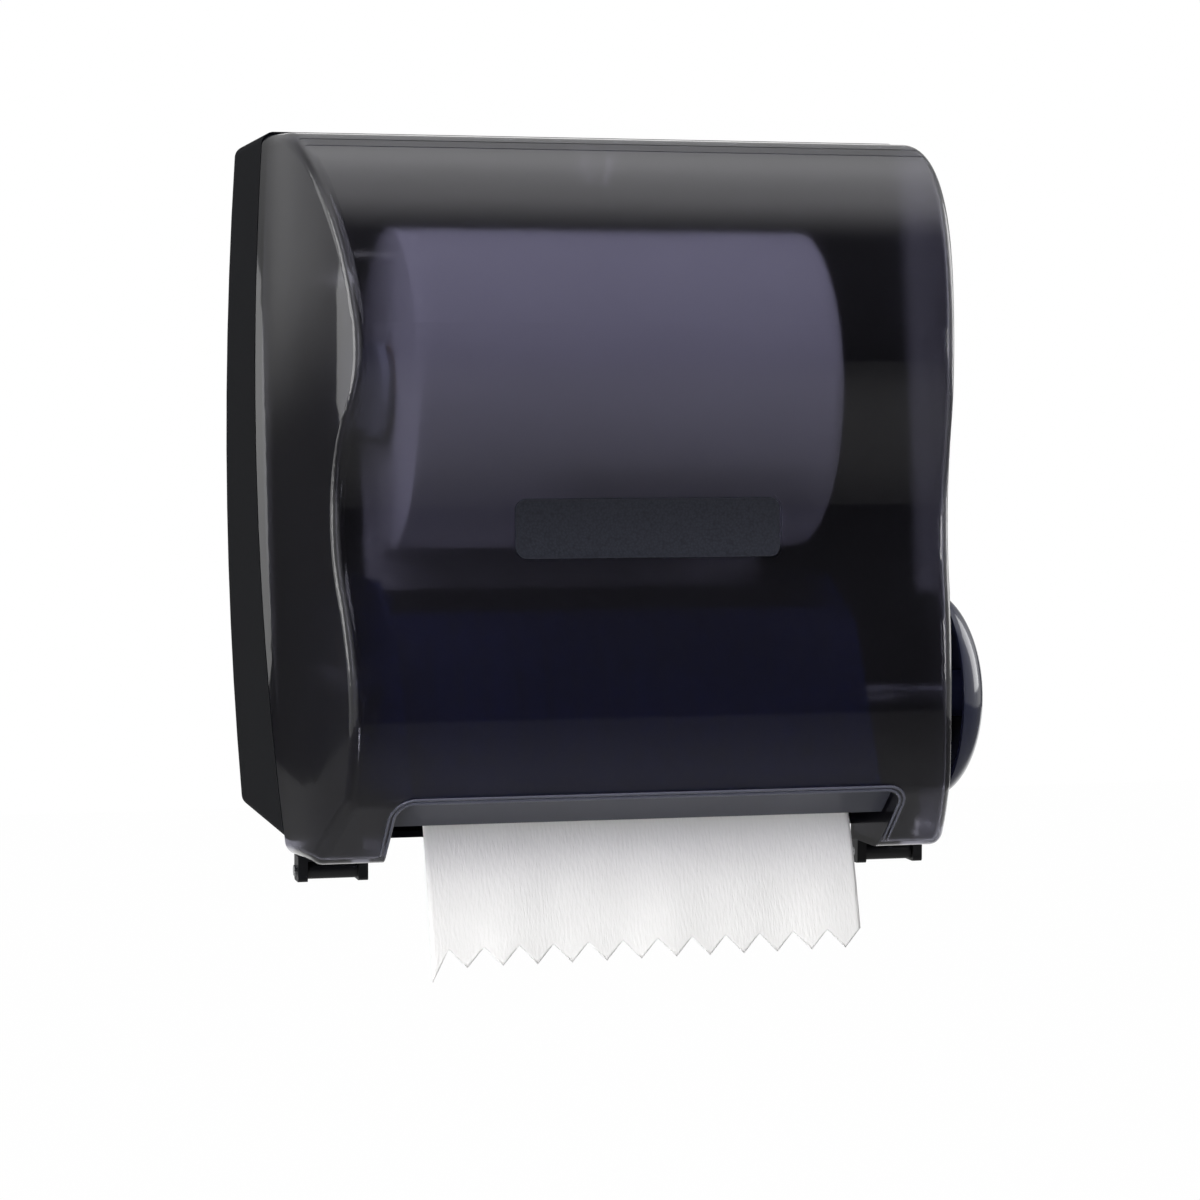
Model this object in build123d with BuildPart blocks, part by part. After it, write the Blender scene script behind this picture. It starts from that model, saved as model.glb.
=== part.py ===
# Wall-hung roll towel dispenser. Millimetres; wall plane at Y = 0, front toward -Y, Z up, X = 0 the middle.
import os
from math import acos, atan2, copysign, cos, degrees, dist, pi, radians, sin, sqrt, tan, tanh

from build123d import *

os.makedirs("parts", exist_ok=True)

# Outer body
W_HALF = 164.0
SIDE_R = 2200.0
SIDE_MID_Z = 10.0
BOTTOM_Z = -166.0
EDGE_R = 6.0
T_BACK = 4.0
T_CASE = 3.0
T_COVER = 2.6
SEAM_TOP_Y = -93.0
SEAM_R = 1168.0
SEAM_GAP = 0.8
LID_STEP = 1.4

# Cover side profile: leg, sloped underside, crease, then four tangent arcs to the crown
LEG_Z = -172.0
LEG_CORNER_Y = -185.0
LEG_R = 16.0
CREASE_Y = -222.6
CREASE_Z = -141.0
CREASE_R = 10.0
FRONT_TILT = 106.7
FRONT_ARCS = ((129.0, -42.0), (75.5, 62.0), (49.0, -51.0))
CROWN_R = 120.0
CROWN_TILT = 2.5
PROFILE_BACK_Y = -20.0
GROOVE_R = 0.7
GROOVE_YS = (-150.0, -161.0)

# Cover sides: the seam outline flares, then blends into a bowed plan outline
PLAN_HALF = 152.8
PLAN_R = 357.0
PLAN_Y = -132.0
BLEND_L = 90.0
FLARE_SHARE = 0.28
FLARE_L = 14.0
SECTION_STARTS = (-20.0, -10.0, 0.0, 10.0, 20.0, 32.0, 46.0, 62.0, 80.0, 105.0, 135.0)
SECTION_OVER = 60.0
SECTION_POINTS = 9

# Towel outlet in the cover
EXIT_CLEAR = 6.0
EXIT_FRONT_Y = -222.0
EXIT_R = 8.0
EXIT_RISE = 3.0
LEG_WALL_T = 2.6
LEG_WALL_H = 32.0

# Label place
LABEL_W = 124.0
LABEL_H = 27.0
LABEL_R = 5.0
LABEL_Z = -19.0
LABEL_T = 1.2
LABEL_GAP = 1.2

# Fits
RUN_FIT = 0.05
SNUG_FIT = 0.02
SKIN_GAP = 0.3

# Wall fixing
WALL_HOLE_X = 105.0
WALL_HOLE_ZS = (-100.0, 100.0)
WALL_HOLE_R = 3.25

# Hinge
HINGE_Y = -146.0
HINGE_DROP = 7.0
HINGE_INSET = 1.5
HINGE_L = 32.8
CHEEK_T = 4.5
YOKE_HALF = 6.0
YOKE_H = 12.0
YOKE_R = 1.5
YOKE_PLATE_T = 2.4
PIN_R = 2.0
PIN_HEAD_R = 2.6
PIN_HEAD_T = 1.2
BARREL_R = 4.2
KNUCKLE_GAP = 0.4
KNUCKLE_T = 4.0
KNUCKLE_REACH = 18.0

# Lock
LOCK_Y = -112.0
LOCK_R = 8.0
LOCK_SLEEVE_R = 11.0
LOCK_FLANGE_R = 14.0
LOCK_SINK = 0.7
LOCK_L = 16.0
LOCK_FLANGE_T = 2.6
KEYWAY_W = 2.0
KEYWAY_L = 9.0
KEYWAY_D = 8.0
TONGUE_GAP = 2.0
TONGUE_T = 3.0
TONGUE_W = 8.0
TONGUE_L = 26.0
KEEPER_X0 = 15.5
KEEPER_X1 = 24.0
KEEPER_GAP = 0.6
KEEPER_T = 3.0
KEEPER_BAR_T = 5.0
KEEPER_INSET = 5.0
KEEPER_L = 16.0

# Widths across the towel, from the towel outward
TOWEL_HALF = 101.5
ROLL_GAP = 3.0
ARM_T = 4.0
ARM_GAP = 0.5
CHASSIS_T = 3.0
ARM_X = TOWEL_HALF + ROLL_GAP
CHASSIS_X = ARM_X + ARM_T + ARM_GAP
EXIT_HALF = CHASSIS_X + CHASSIS_T + EXIT_CLEAR
HINGE_X0 = EXIT_HALF + HINGE_INSET
HINGE_X1 = HINGE_X0 + HINGE_L
HINGE_Z = LEG_Z - HINGE_DROP

# Feed mechanism
DRUM_Y = -124.0
DRUM_Z = -105.0
DRUM_R = 40.0
DRUM_WALL = 4.0
DRUM_OVER = 1.5
DRUM_HALF = TOWEL_HALF + DRUM_OVER
CAP_T = 3.0
SHAFT_R = 6.0
SHAFT_END = 1.0
SHAFT_IN_WHEEL = 15.0
NOTCH_R = 11.0
FLANGE_W = 14.0
FLANGE_OVER = 11.0
BOSS_H = 10.0
BOSS_R = 6.0
SCREW_SPAN = 35.0
SCREW_R = 2.0
SCREW_L = 9.0
SCREW_TIP_GAP = 1.0
SCREW_HEAD_R = 4.0
SCREW_HEAD_T = 2.5
SCREW_SLOT_L = 4.5
SCREW_SLOT_W = 1.0
SCREW_SLOT_D = 1.3
BUSH_R = 9.0
BUSH_RIM = 2.5
BUSH_RIM_T = 1.5
BUSH_OUT = 1.0
PLATE_BELOW = 45.0
PLATE_ABOVE = 47.0
PLATE_EAVE = 12.0
PLATE_CAP = 10.0
PLATE_FRONT = 4.0
PLATE_R = 60.0
PLATE_DEG = 140.0
PLATE_TAIL = 52.0

# Knife inside the drum, set out from the slot direction
SLOT_DEG = -30.0
SLOT_W = 27.0
SLOT_SHIFT = -4.5
SLOT_END = 0.2
KNIFE_U = 22.0
KNIFE_V = -18.0
KNIFE_DEG = 70.0
KNIFE_L = 27.0
KNIFE_GAP = 1.8
KNIFE_SIDE = 0.56
KNIFE_ROD_R = 2.5
KNIFE_TUBE_R = 5.5
KNIFE_PLATE_T = 3.0
BLADE_T = 1.0
BLADE_ROOT = 7.5
TOOTH_PITCH = 16.24
TOOTH_H = 6.0

# Pinch roller, guide bar and towel web
WEB_T = 0.8
NIP_DEG = 65.0
LEAVE_DEG = 155.0
PINCH_R = 8.0
PINCH_INSET = 2.0
PINCH_GAP = 1.5
PINCH_ARM_T = 3.0
PINCH_PIVOT_Y = -72.0
PINCH_PIVOT_Z = -56.0
PINCH_ROD_R = 3.0
PINCH_EYE_R = 6.0
BAR_R = 5.0
BAR_AHEAD = 52.0
GUIDE_GAP = 7.5
GUIDE_T = 2.5
GUIDE_TOP_DEG = 118.0
GUIDE_L = 67.0
RIB_H = 3.0
RIB_W = 2.4
RIB_PITCH = 13.0
RIB_GROUP_X = -28.6
RIB_GROUP_PITCH = 68.0
RIB_EDGE = 5.0
RIB_L = 45.0
RIB_SINK = 0.5
RIB_RAMP = 3.0
REAR_GAP = 3.4
REAR_T = 2.0
REAR_FROM = 34.0
REAR_OVER = 2.0
REAR_RAMP = 3.0
NOSE_L = 19.8
NOSE_T = 3.0
NOSE_DEG = -38.0
NOSE_AHEAD = 1.8
NOSE_BELOW = 3.3
NOSE_END_GAP = 1.0

# Loose tail of the towel
TAIL_START = 72.0
TAIL_TURN = 8.0
TAIL_R = 300.0
TAIL_END_Z = -216.5
TEAR_H = 8.5
TEAR_RISE = 2.5
TEAR_CORNER = 5.5

# Roll and its arms
ROLL_Y = -108.0
ROLL_Z = 44.0
ROLL_R = 76.0
CORE_R = 20.5
CORE_T = 1.5
ARM_PIVOT_Y = -16.0
ARM_ROOT = 6.0
ARM_RIM = 4.0
ARM_BARREL_R = 4.5
ARM_BARREL_H = 40.0
ARM_PIN_R = 2.0
LUG_T = 4.0
LUG_W = 12.0
HUB_BASE_R = 18.6
HUB_TIP_R = 16.0
HUB_L = 12.5

# Hand wheel
WHEEL_GAP = 1.0
WHEEL_SET = 2.0
WHEEL_R = 51.5
WHEEL_DOME = 23.7
WHEEL_T = 2.5
WHEEL_HUB_R = 12.0

# Index spring
CRANK_GAP = 1.5
CRANK_T = 3.5
CRANK_EYE_R = 10.0
CRANK_W = 14.0
CRANK_R = 20.0
CRANK_DEG = 150.0
CRANK_PIN_R = 2.5
PIN_OVER = 3.0
SPRING_OUT = 7.0
SPRING_R = 4.5
WIRE_R = 0.8
COILS = 15 + 5 / 6
COIL_PITCH = 3.0
COIL_STEPS = 12
LEAD_STEPS = 4
LEAD_L = 7.0
POST_Y = -52.0

SIDES = (("left", -1), ("right", 1))

# Places that follow from the sizes above
reach = 2 * W_HALF
screw_x = CHASSIS_X + CHASSIS_T + FLANGE_W / 2
screw_zs = (DRUM_Z - SCREW_SPAN, DRUM_Z + SCREW_SPAN)
slot_half = DRUM_HALF - CAP_T - SLOT_END
teeth = int(2 * (slot_half - KNIFE_GAP) / TOOTH_PITCH)
knife_half = teeth * TOOTH_PITCH / 2 + KNIFE_SIDE
pinch_arm_x = TOWEL_HALF - PINCH_INSET
pinch_half = pinch_arm_x - PINCH_GAP
wheel_back_x = W_HALF + WHEEL_GAP
wheel_x = wheel_back_x - WHEEL_SET
shaft_right_x = wheel_back_x + SHAFT_IN_WHEEL
crank_x = -CHASSIS_X - CHASSIS_T - CRANK_GAP
shaft_left_x = crank_x - CRANK_T - SHAFT_END
spring_x = crank_x - CRANK_T - SPRING_OUT


def half_width(z):
    return W_HALF - SIDE_R + sqrt(SIDE_R**2 - (z - SIDE_MID_Z) ** 2)


def seam_y(z):
    return SEAM_TOP_Y - SEAM_R + sqrt(SEAM_R**2 - (top_z - z) ** 2)


def cover_half_width(y, z):
    ahead = seam_y(z) - y
    sweep = sin(pi / 2 * min(ahead / BLEND_L, 1.0))
    blend = sweep + (tanh(ahead / FLARE_L) - sweep) * FLARE_SHARE
    plan = PLAN_HALF - PLAN_R + sqrt(PLAN_R**2 - max(PLAN_Y - y, 0.0) ** 2)
    return half_width(z) + (plan - half_width(z)) * blend


def around(y, z, r, deg):
    return (y + r * cos(radians(deg)), z + r * sin(radians(deg)))


def span(sign, x0, x1):
    return min(sign * x0, sign * x1)


# Side profile of the cover, drawn once
slope = Vector(CREASE_Y - LEG_CORNER_Y, CREASE_Z - LEG_Z).normalized()
slope_deg = degrees(atan2(slope.Y, slope.X))
with BuildSketch(Plane.YZ) as profile:
    with BuildLine():
        leg_cut = LEG_R * tan(radians((180 - slope_deg) / 2))
        leg = Line((PROFILE_BACK_Y, LEG_Z), (LEG_CORNER_Y + leg_cut, LEG_Z))
        corner = JernArc(leg @ 1, (-1, 0), LEG_R, slope_deg - 180)
        crease_cut = CREASE_R * tan(radians((slope_deg - FRONT_TILT) / 2))
        under = Line(corner @ 1, (CREASE_Y - slope.X * crease_cut, CREASE_Z - slope.Y * crease_cut))
        run = JernArc(under @ 1, under % 1, CREASE_R, FRONT_TILT - slope_deg)
        for radius, turn in FRONT_ARCS:
            run = JernArc(run @ 1, run % 1, radius, turn)
        heading = degrees(atan2((run % 1).Y, (run % 1).X))
        crown = JernArc(run @ 1, run % 1, CROWN_R, CROWN_TILT - heading)
        crown_mid = crown.arc_center
        crown_back_z = (crown @ 1).Y + tan(radians(CROWN_TILT)) * (PROFILE_BACK_Y - (crown @ 1).X)
        Polyline(crown @ 1, (PROFILE_BACK_Y, crown_back_z), leg @ 0)
    make_face()
crown_back_y = (crown @ 1).X


def lid_at(y, inset=0.0):
    if y < crown_back_y:
        return crown_mid.Y + sqrt((CROWN_R - inset) ** 2 - (y - crown_mid.X) ** 2)
    return crown_back_z + tan(radians(CROWN_TILT)) * (y - PROFILE_BACK_Y) - inset / cos(radians(CROWN_TILT))


top_z = lid_at(SEAM_TOP_Y) + LID_STEP
lid_z = lid_at(LOCK_Y)

# Rear case: a tray with bosses, wall holes and arm lugs
with BuildPart() as rear_case:
    for inset, start, mode in ((0.0, 0.0, Mode.ADD), (T_CASE, T_BACK, Mode.SUBTRACT)):
        with BuildSketch(Plane.XZ.offset(start)) as outline:
            top_w = half_width(top_z) - inset
            low_w = half_width(BOTTOM_Z) - inset
            with BuildLine():
                right = ThreePointArc(
                    (low_w, BOTTOM_Z + inset), (W_HALF - inset, SIDE_MID_Z), (top_w, top_z - inset))
                Line(right @ 1, (-top_w, top_z - inset))
                left = ThreePointArc(
                    (-top_w, top_z - inset), (inset - W_HALF, SIDE_MID_Z), (-low_w, BOTTOM_Z + inset))
                Line(left @ 1, right @ 0)
            make_face()
            fillet(outline.vertices(), EDGE_R - inset)
        extrude(amount=reach, mode=mode)
    with BuildSketch(Plane.YZ):
        with BuildLine():
            seam = TangentArc((SEAM_TOP_Y, top_z), (seam_y(-reach), -reach), tangent=(0, -1))
            Polyline(seam @ 1, (-2 * reach, -reach), (-2 * reach, reach),
                     (SEAM_TOP_Y, reach), seam @ 0)
        make_face()
    extrude(amount=reach, both=True, mode=Mode.SUBTRACT)
    boss_spots = [(s * screw_x, z) for _, s in SIDES for z in screw_zs]
    with BuildSketch(Plane.XZ.offset(T_BACK)):
        with Locations(*boss_spots):
            Circle(BOSS_R)
    extrude(amount=BOSS_H)
    with BuildSketch(Plane.XZ.offset(T_BACK + BOSS_H)):
        with Locations(*boss_spots):
            Circle(SCREW_R + RUN_FIT)
    extrude(amount=-SCREW_L, mode=Mode.SUBTRACT)
    with BuildSketch(Plane.XZ):
        with Locations(*[(s * WALL_HOLE_X, z) for _, s in SIDES for z in WALL_HOLE_ZS]):
            Circle(WALL_HOLE_R)
    extrude(amount=T_BACK, mode=Mode.SUBTRACT)
    lug_reach = -ARM_PIVOT_Y + LUG_W / 2
    arm_mid_x = ARM_X + ARM_T / 2
    for z in (ROLL_Z - ARM_BARREL_H / 2 - SKIN_GAP - LUG_T, ROLL_Z + ARM_BARREL_H / 2 + SKIN_GAP):
        with BuildSketch(Plane.XY.offset(z)):
            for _, s in SIDES:
                with Locations((s * arm_mid_x, -T_BACK / 4 - lug_reach / 2)):
                    Rectangle(LUG_W, lug_reach - T_BACK / 2)
            with Locations(*[(s * arm_mid_x, ARM_PIVOT_Y) for _, s in SIDES]):
                Circle(ARM_PIN_R + SNUG_FIT, mode=Mode.SUBTRACT)
        extrude(amount=LUG_T)
    with BuildSketch(Plane.YZ.offset(shaft_right_x)):
        with Locations((DRUM_Y, DRUM_Z)):
            Circle(NOTCH_R)
    extrude(amount=CHASSIS_X - shaft_right_x, mode=Mode.SUBTRACT)
rear_case.part.label = "rear_case"
export_step(rear_case.part, "parts/rear_case.step")

# Outer and inner cover blocks: drafted sides lofted from the seam plane, cut to the side profile
seam_low_y = seam_y(BOTTOM_Z)
seam_normal = Vector(0, BOTTOM_Z - top_z, SEAM_TOP_Y - seam_low_y).normalized()
seam_origin = Vector(0, (SEAM_TOP_Y + seam_low_y) / 2, (top_z + BOTTOM_Z) / 2)
seam_plane = Plane(origin=seam_origin, x_dir=(1, 0, 0), z_dir=seam_normal)
section_half = (top_z - LEG_Z) / 2 + SECTION_OVER
cover_blocks = []
for inset in (0.0, T_COVER):
    with BuildPart() as block:
        for start in SECTION_STARTS:
            section = seam_plane.offset(start)
            wall = []
            for k in range(SECTION_POINTS):
                up = section_half * (2 * k / (SECTION_POINTS - 1) - 1)
                spot = section.from_local_coords((0, up, 0))
                wall.append((cover_half_width(spot.Y, spot.Z) - inset, up))
            with BuildSketch(section):
                with BuildLine():
                    right = Spline(*wall)
                    left = Spline(*[(-x, up) for x, up in wall])
                    Line(right @ 0, left @ 0)
                    Line(right @ 1, left @ 1)
                make_face()
        loft()
        with BuildSketch(Plane.YZ):
            add(profile.sketch_local)
            if inset:
                offset(amount=-inset, mode=Mode.REPLACE)
        extrude(amount=reach, both=True, mode=Mode.INTERSECT)
        rims = [e for e in block.edges() if abs(e.center().X) > EXIT_HALF
                and (e.center() - seam_origin).dot(seam_normal) > SECTION_STARTS[0] + SEAM_GAP]
        fillet(rims, EDGE_R - inset)
    cover_blocks.append(block.part)

# Label pocket and label plate: a skin of the profile inside a rounded rectangle
label_skins = []
for grow in (LABEL_GAP, 0.0):
    with BuildPart() as skin:
        with BuildSketch(Plane.YZ):
            add(profile.sketch_local)
            with BuildSketch(mode=Mode.PRIVATE) as core:
                add(profile.sketch_local)
                offset(amount=-LABEL_T, mode=Mode.REPLACE)
            add(core.sketch_local, mode=Mode.SUBTRACT)
        extrude(amount=LABEL_W, both=True)
        with BuildSketch(Plane.XZ.offset(-HINGE_Y)):
            with Locations((0, LABEL_Z)):
                RectangleRounded(LABEL_W + 2 * grow, LABEL_H + 2 * grow, LABEL_R + grow)
        extrude(amount=reach, mode=Mode.INTERSECT)
    label_skins.append(skin.part)

# Heights of the lock, from the top of the cover down
lock_top_z = lid_z - LOCK_SINK
sleeve_z = lock_top_z - LOCK_L
flange_z = lid_at(LOCK_Y - LOCK_FLANGE_R, T_COVER) - SKIN_GAP - LOCK_FLANGE_T
tongue_z = sleeve_z - TONGUE_GAP - TONGUE_T

# Front cover
with BuildPart() as front_cover:
    add(cover_blocks[0])
    add(cover_blocks[1], mode=Mode.SUBTRACT)
    for sign in (-1, 1):
        with BuildSketch(Plane.YZ.offset(span(sign, EXIT_HALF, EXIT_HALF + LEG_WALL_T))):
            add(profile.sketch_local)
            offset(amount=-T_COVER / 2, mode=Mode.REPLACE)
            with Locations(((HINGE_Y + EXIT_FRONT_Y) / 2, LEG_Z)):
                Rectangle(HINGE_Y - EXIT_FRONT_Y, 2 * LEG_WALL_H, mode=Mode.INTERSECT)
        extrude(amount=LEG_WALL_T)
    with BuildSketch(Plane.XY.offset(-reach)) as outlet:
        with Locations((0, EXIT_FRONT_Y / 2)):
            Rectangle(2 * EXIT_HALF, -EXIT_FRONT_Y)
        fillet(outlet.vertices().group_by(Axis.Y)[0], EXIT_R)
    extrude(amount=reach + CREASE_Z + EXIT_RISE, mode=Mode.SUBTRACT)
    with BuildSketch(Plane.YZ):
        with BuildLine():
            seam = TangentArc((SEAM_TOP_Y - SEAM_GAP, top_z), (seam_y(-reach) - SEAM_GAP, -reach),
                              tangent=(0, -1))
            Polyline(seam @ 1, (0, -reach), (0, reach), (SEAM_TOP_Y - SEAM_GAP, reach), seam @ 0)
        make_face()
    extrude(amount=reach, both=True, mode=Mode.SUBTRACT)
    with BuildSketch(Plane.YZ.offset(shaft_right_x)):
        with Locations((DRUM_Y, DRUM_Z)):
            Circle(NOTCH_R)
    extrude(amount=CHASSIS_X - shaft_right_x, mode=Mode.SUBTRACT)
    with BuildSketch(Plane.XY.offset(sleeve_z)):
        with Locations((0, LOCK_Y)):
            Circle(LOCK_SLEEVE_R + SKIN_GAP)
    extrude(amount=reach, mode=Mode.SUBTRACT)
    with BuildSketch(Plane.YZ):
        for y in GROOVE_YS:
            with Locations((y, lid_at(y))):
                Circle(GROOVE_R)
    extrude(amount=reach, both=True, mode=Mode.SUBTRACT)
    add(label_skins[0], mode=Mode.SUBTRACT)
front_cover.part.label = "front_cover"
export_step(front_cover.part, "parts/front_cover.step")

with BuildPart() as label_plate:
    add(label_skins[1])
label_plate.part.label = "label_plate"
export_step(label_plate.part, "parts/label_plate.step")

# Hinges: yoke and pin go with the cover, knuckle with the case
for side, sign in SIDES:
    with BuildPart() as hinge_yoke:
        with BuildSketch(Plane.YZ.offset(span(sign, HINGE_X0, HINGE_X1))):
            with Locations((HINGE_Y, LEG_Z - YOKE_PLATE_T / 2)):
                Rectangle(2 * YOKE_HALF, YOKE_PLATE_T)
        extrude(amount=HINGE_X1 - HINGE_X0)
        for x0 in (HINGE_X0, HINGE_X1 - CHEEK_T):
            with BuildSketch(Plane.YZ.offset(span(sign, x0, x0 + CHEEK_T))):
                with Locations((HINGE_Y, LEG_Z - YOKE_H / 2)):
                    RectangleRounded(2 * YOKE_HALF, YOKE_H, YOKE_R)
                with Locations((HINGE_Y, HINGE_Z)):
                    Circle(PIN_R + SNUG_FIT, mode=Mode.SUBTRACT)
            extrude(amount=CHEEK_T)
    hinge_yoke.part.label = f"hinge_yoke_{side}"
    export_step(hinge_yoke.part, f"parts/hinge_yoke_{side}.step")

    with BuildPart() as hinge_pin:
        with BuildSketch(Plane.YZ.offset(span(sign, HINGE_X0, HINGE_X1))):
            with Locations((HINGE_Y, HINGE_Z)):
                Circle(PIN_R)
        extrude(amount=HINGE_X1 - HINGE_X0)
        with BuildSketch(Plane.YZ.offset(span(sign, HINGE_X1, HINGE_X1 + PIN_HEAD_T))):
            with Locations((HINGE_Y, HINGE_Z)):
                Circle(PIN_HEAD_R)
        extrude(amount=PIN_HEAD_T)
    hinge_pin.part.label = f"hinge_pin_{side}"
    export_step(hinge_pin.part, f"parts/hinge_pin_{side}.step")

    knuckle_x0 = HINGE_X0 + CHEEK_T + KNUCKLE_GAP
    knuckle_x1 = HINGE_X1 - CHEEK_T - KNUCKLE_GAP
    with BuildPart() as hinge_knuckle:
        with BuildSketch(Plane.YZ.offset(span(sign, knuckle_x0, knuckle_x1))):
            with Locations((HINGE_Y, HINGE_Z)):
                Circle(BARREL_R)
            with Locations((HINGE_Y + KNUCKLE_REACH / 2, HINGE_Z)):
                Rectangle(KNUCKLE_REACH, KNUCKLE_T)
            with Locations((HINGE_Y + KNUCKLE_REACH - KNUCKLE_T / 2, (HINGE_Z - KNUCKLE_T / 2 + BOTTOM_Z) / 2)):
                Rectangle(KNUCKLE_T, BOTTOM_Z - HINGE_Z + KNUCKLE_T / 2)
            with Locations((HINGE_Y, HINGE_Z)):
                Circle(PIN_R + RUN_FIT, mode=Mode.SUBTRACT)
        extrude(amount=knuckle_x1 - knuckle_x0)
    hinge_knuckle.part.label = f"hinge_knuckle_{side}"
    export_step(hinge_knuckle.part, f"parts/hinge_knuckle_{side}.step")

# Lock in the top of the cover, keeper on the case
with BuildPart() as lock_sleeve:
    with BuildSketch(Plane.XY.offset(sleeve_z)):
        with Locations((0, LOCK_Y)):
            Circle(LOCK_SLEEVE_R)
            Circle(LOCK_R, mode=Mode.SUBTRACT)
    extrude(amount=lock_top_z - sleeve_z)
    with BuildSketch(Plane.XY.offset(flange_z)):
        with Locations((0, LOCK_Y)):
            Circle(LOCK_FLANGE_R)
            Circle(LOCK_R, mode=Mode.SUBTRACT)
    extrude(amount=LOCK_FLANGE_T)
lock_sleeve.part.label = "lock_sleeve"
export_step(lock_sleeve.part, "parts/lock_sleeve.step")

with BuildPart() as lock_barrel:
    with BuildSketch(Plane.XY.offset(tongue_z + TONGUE_T)):
        with Locations((0, LOCK_Y)):
            Circle(LOCK_R - RUN_FIT)
    extrude(amount=lock_top_z - tongue_z - TONGUE_T)
    with BuildSketch(Plane.XY.offset(lock_top_z)):
        with Locations((0, LOCK_Y)):
            Rectangle(KEYWAY_W, KEYWAY_L)
    extrude(amount=-KEYWAY_D, mode=Mode.SUBTRACT)
lock_barrel.part.label = "lock_barrel"
export_step(lock_barrel.part, "parts/lock_barrel.step")

with BuildPart() as lock_tongue:
    with BuildSketch(Plane.XY.offset(tongue_z)):
        with Locations((0, LOCK_Y)):
            Circle(LOCK_R - RUN_FIT)
        with Locations((0, LOCK_Y + TONGUE_L / 2)):
            Rectangle(TONGUE_W, TONGUE_L)
    extrude(amount=TONGUE_T)
lock_tongue.part.label = "lock_tongue"
export_step(lock_tongue.part, "parts/lock_tongue.step")

keeper_lip_y = LOCK_Y - TONGUE_W / 2 - KEEPER_GAP
keeper_front_y = SEAM_TOP_Y + KEEPER_INSET
keeper_back_y = keeper_front_y + KEEPER_L
keeper_bar_z = tongue_z + TONGUE_T + KEEPER_T
keeper_bar_top = keeper_bar_z + KEEPER_BAR_T
with BuildPart() as lock_keeper:
    with BuildSketch(Plane.YZ.offset(KEEPER_X0)):
        with BuildLine():
            Polyline(
                (keeper_back_y, top_z - T_CASE), (keeper_back_y, keeper_bar_z), (keeper_lip_y, keeper_bar_z),
                (keeper_lip_y, tongue_z - KEEPER_T), (keeper_lip_y - KEEPER_T, tongue_z - KEEPER_T),
                (keeper_lip_y - KEEPER_T, keeper_bar_top), (keeper_front_y, keeper_bar_top),
                (keeper_front_y, top_z - T_CASE), close=True)
        make_face()
    extrude(amount=KEEPER_X1 - KEEPER_X0)
lock_keeper.part.label = "lock_keeper"
export_step(lock_keeper.part, "parts/lock_keeper.step")

# Chassis side plates, their screws and the drum bushes
flange_y = -T_BACK - BOSS_H
pinch_out = DRUM_R + WEB_T + 2 * SKIN_GAP + PINCH_R
pinch_y, pinch_z = around(DRUM_Y, DRUM_Z, pinch_out, NIP_DEG)
nip = Vector(*around(DRUM_Y, DRUM_Z, DRUM_R + SKIN_GAP + WEB_T / 2, NIP_DEG))
feed_in = Vector(sin(radians(NIP_DEG)), -cos(radians(NIP_DEG)))
lift = Vector(cos(radians(NIP_DEG)), sin(radians(NIP_DEG)))
bar = nip + feed_in * BAR_AHEAD + lift * (BAR_R + SKIN_GAP + WEB_T / 2)
leave = Vector(*around(DRUM_Y, DRUM_Z, DRUM_R + SKIN_GAP + WEB_T / 2, LEAVE_DEG))
feed_out = Vector(-sin(radians(LEAVE_DEG)), cos(radians(LEAVE_DEG)))
ahead = Vector(cos(radians(LEAVE_DEG)), sin(radians(LEAVE_DEG)))
guide_end = leave + ahead * (GUIDE_GAP + GUIDE_T) + feed_out * GUIDE_L
nose_mid = guide_end + ahead * NOSE_AHEAD + feed_out * NOSE_BELOW
nose_run = Vector(cos(radians(NOSE_DEG)), sin(radians(NOSE_DEG)))
nose_up = Vector(-nose_run.Y, nose_run.X)
nose_seat = nose_mid + nose_up * (NOSE_T / 2)
nose_back = nose_seat + nose_run * (NOSE_L / 2)
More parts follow.
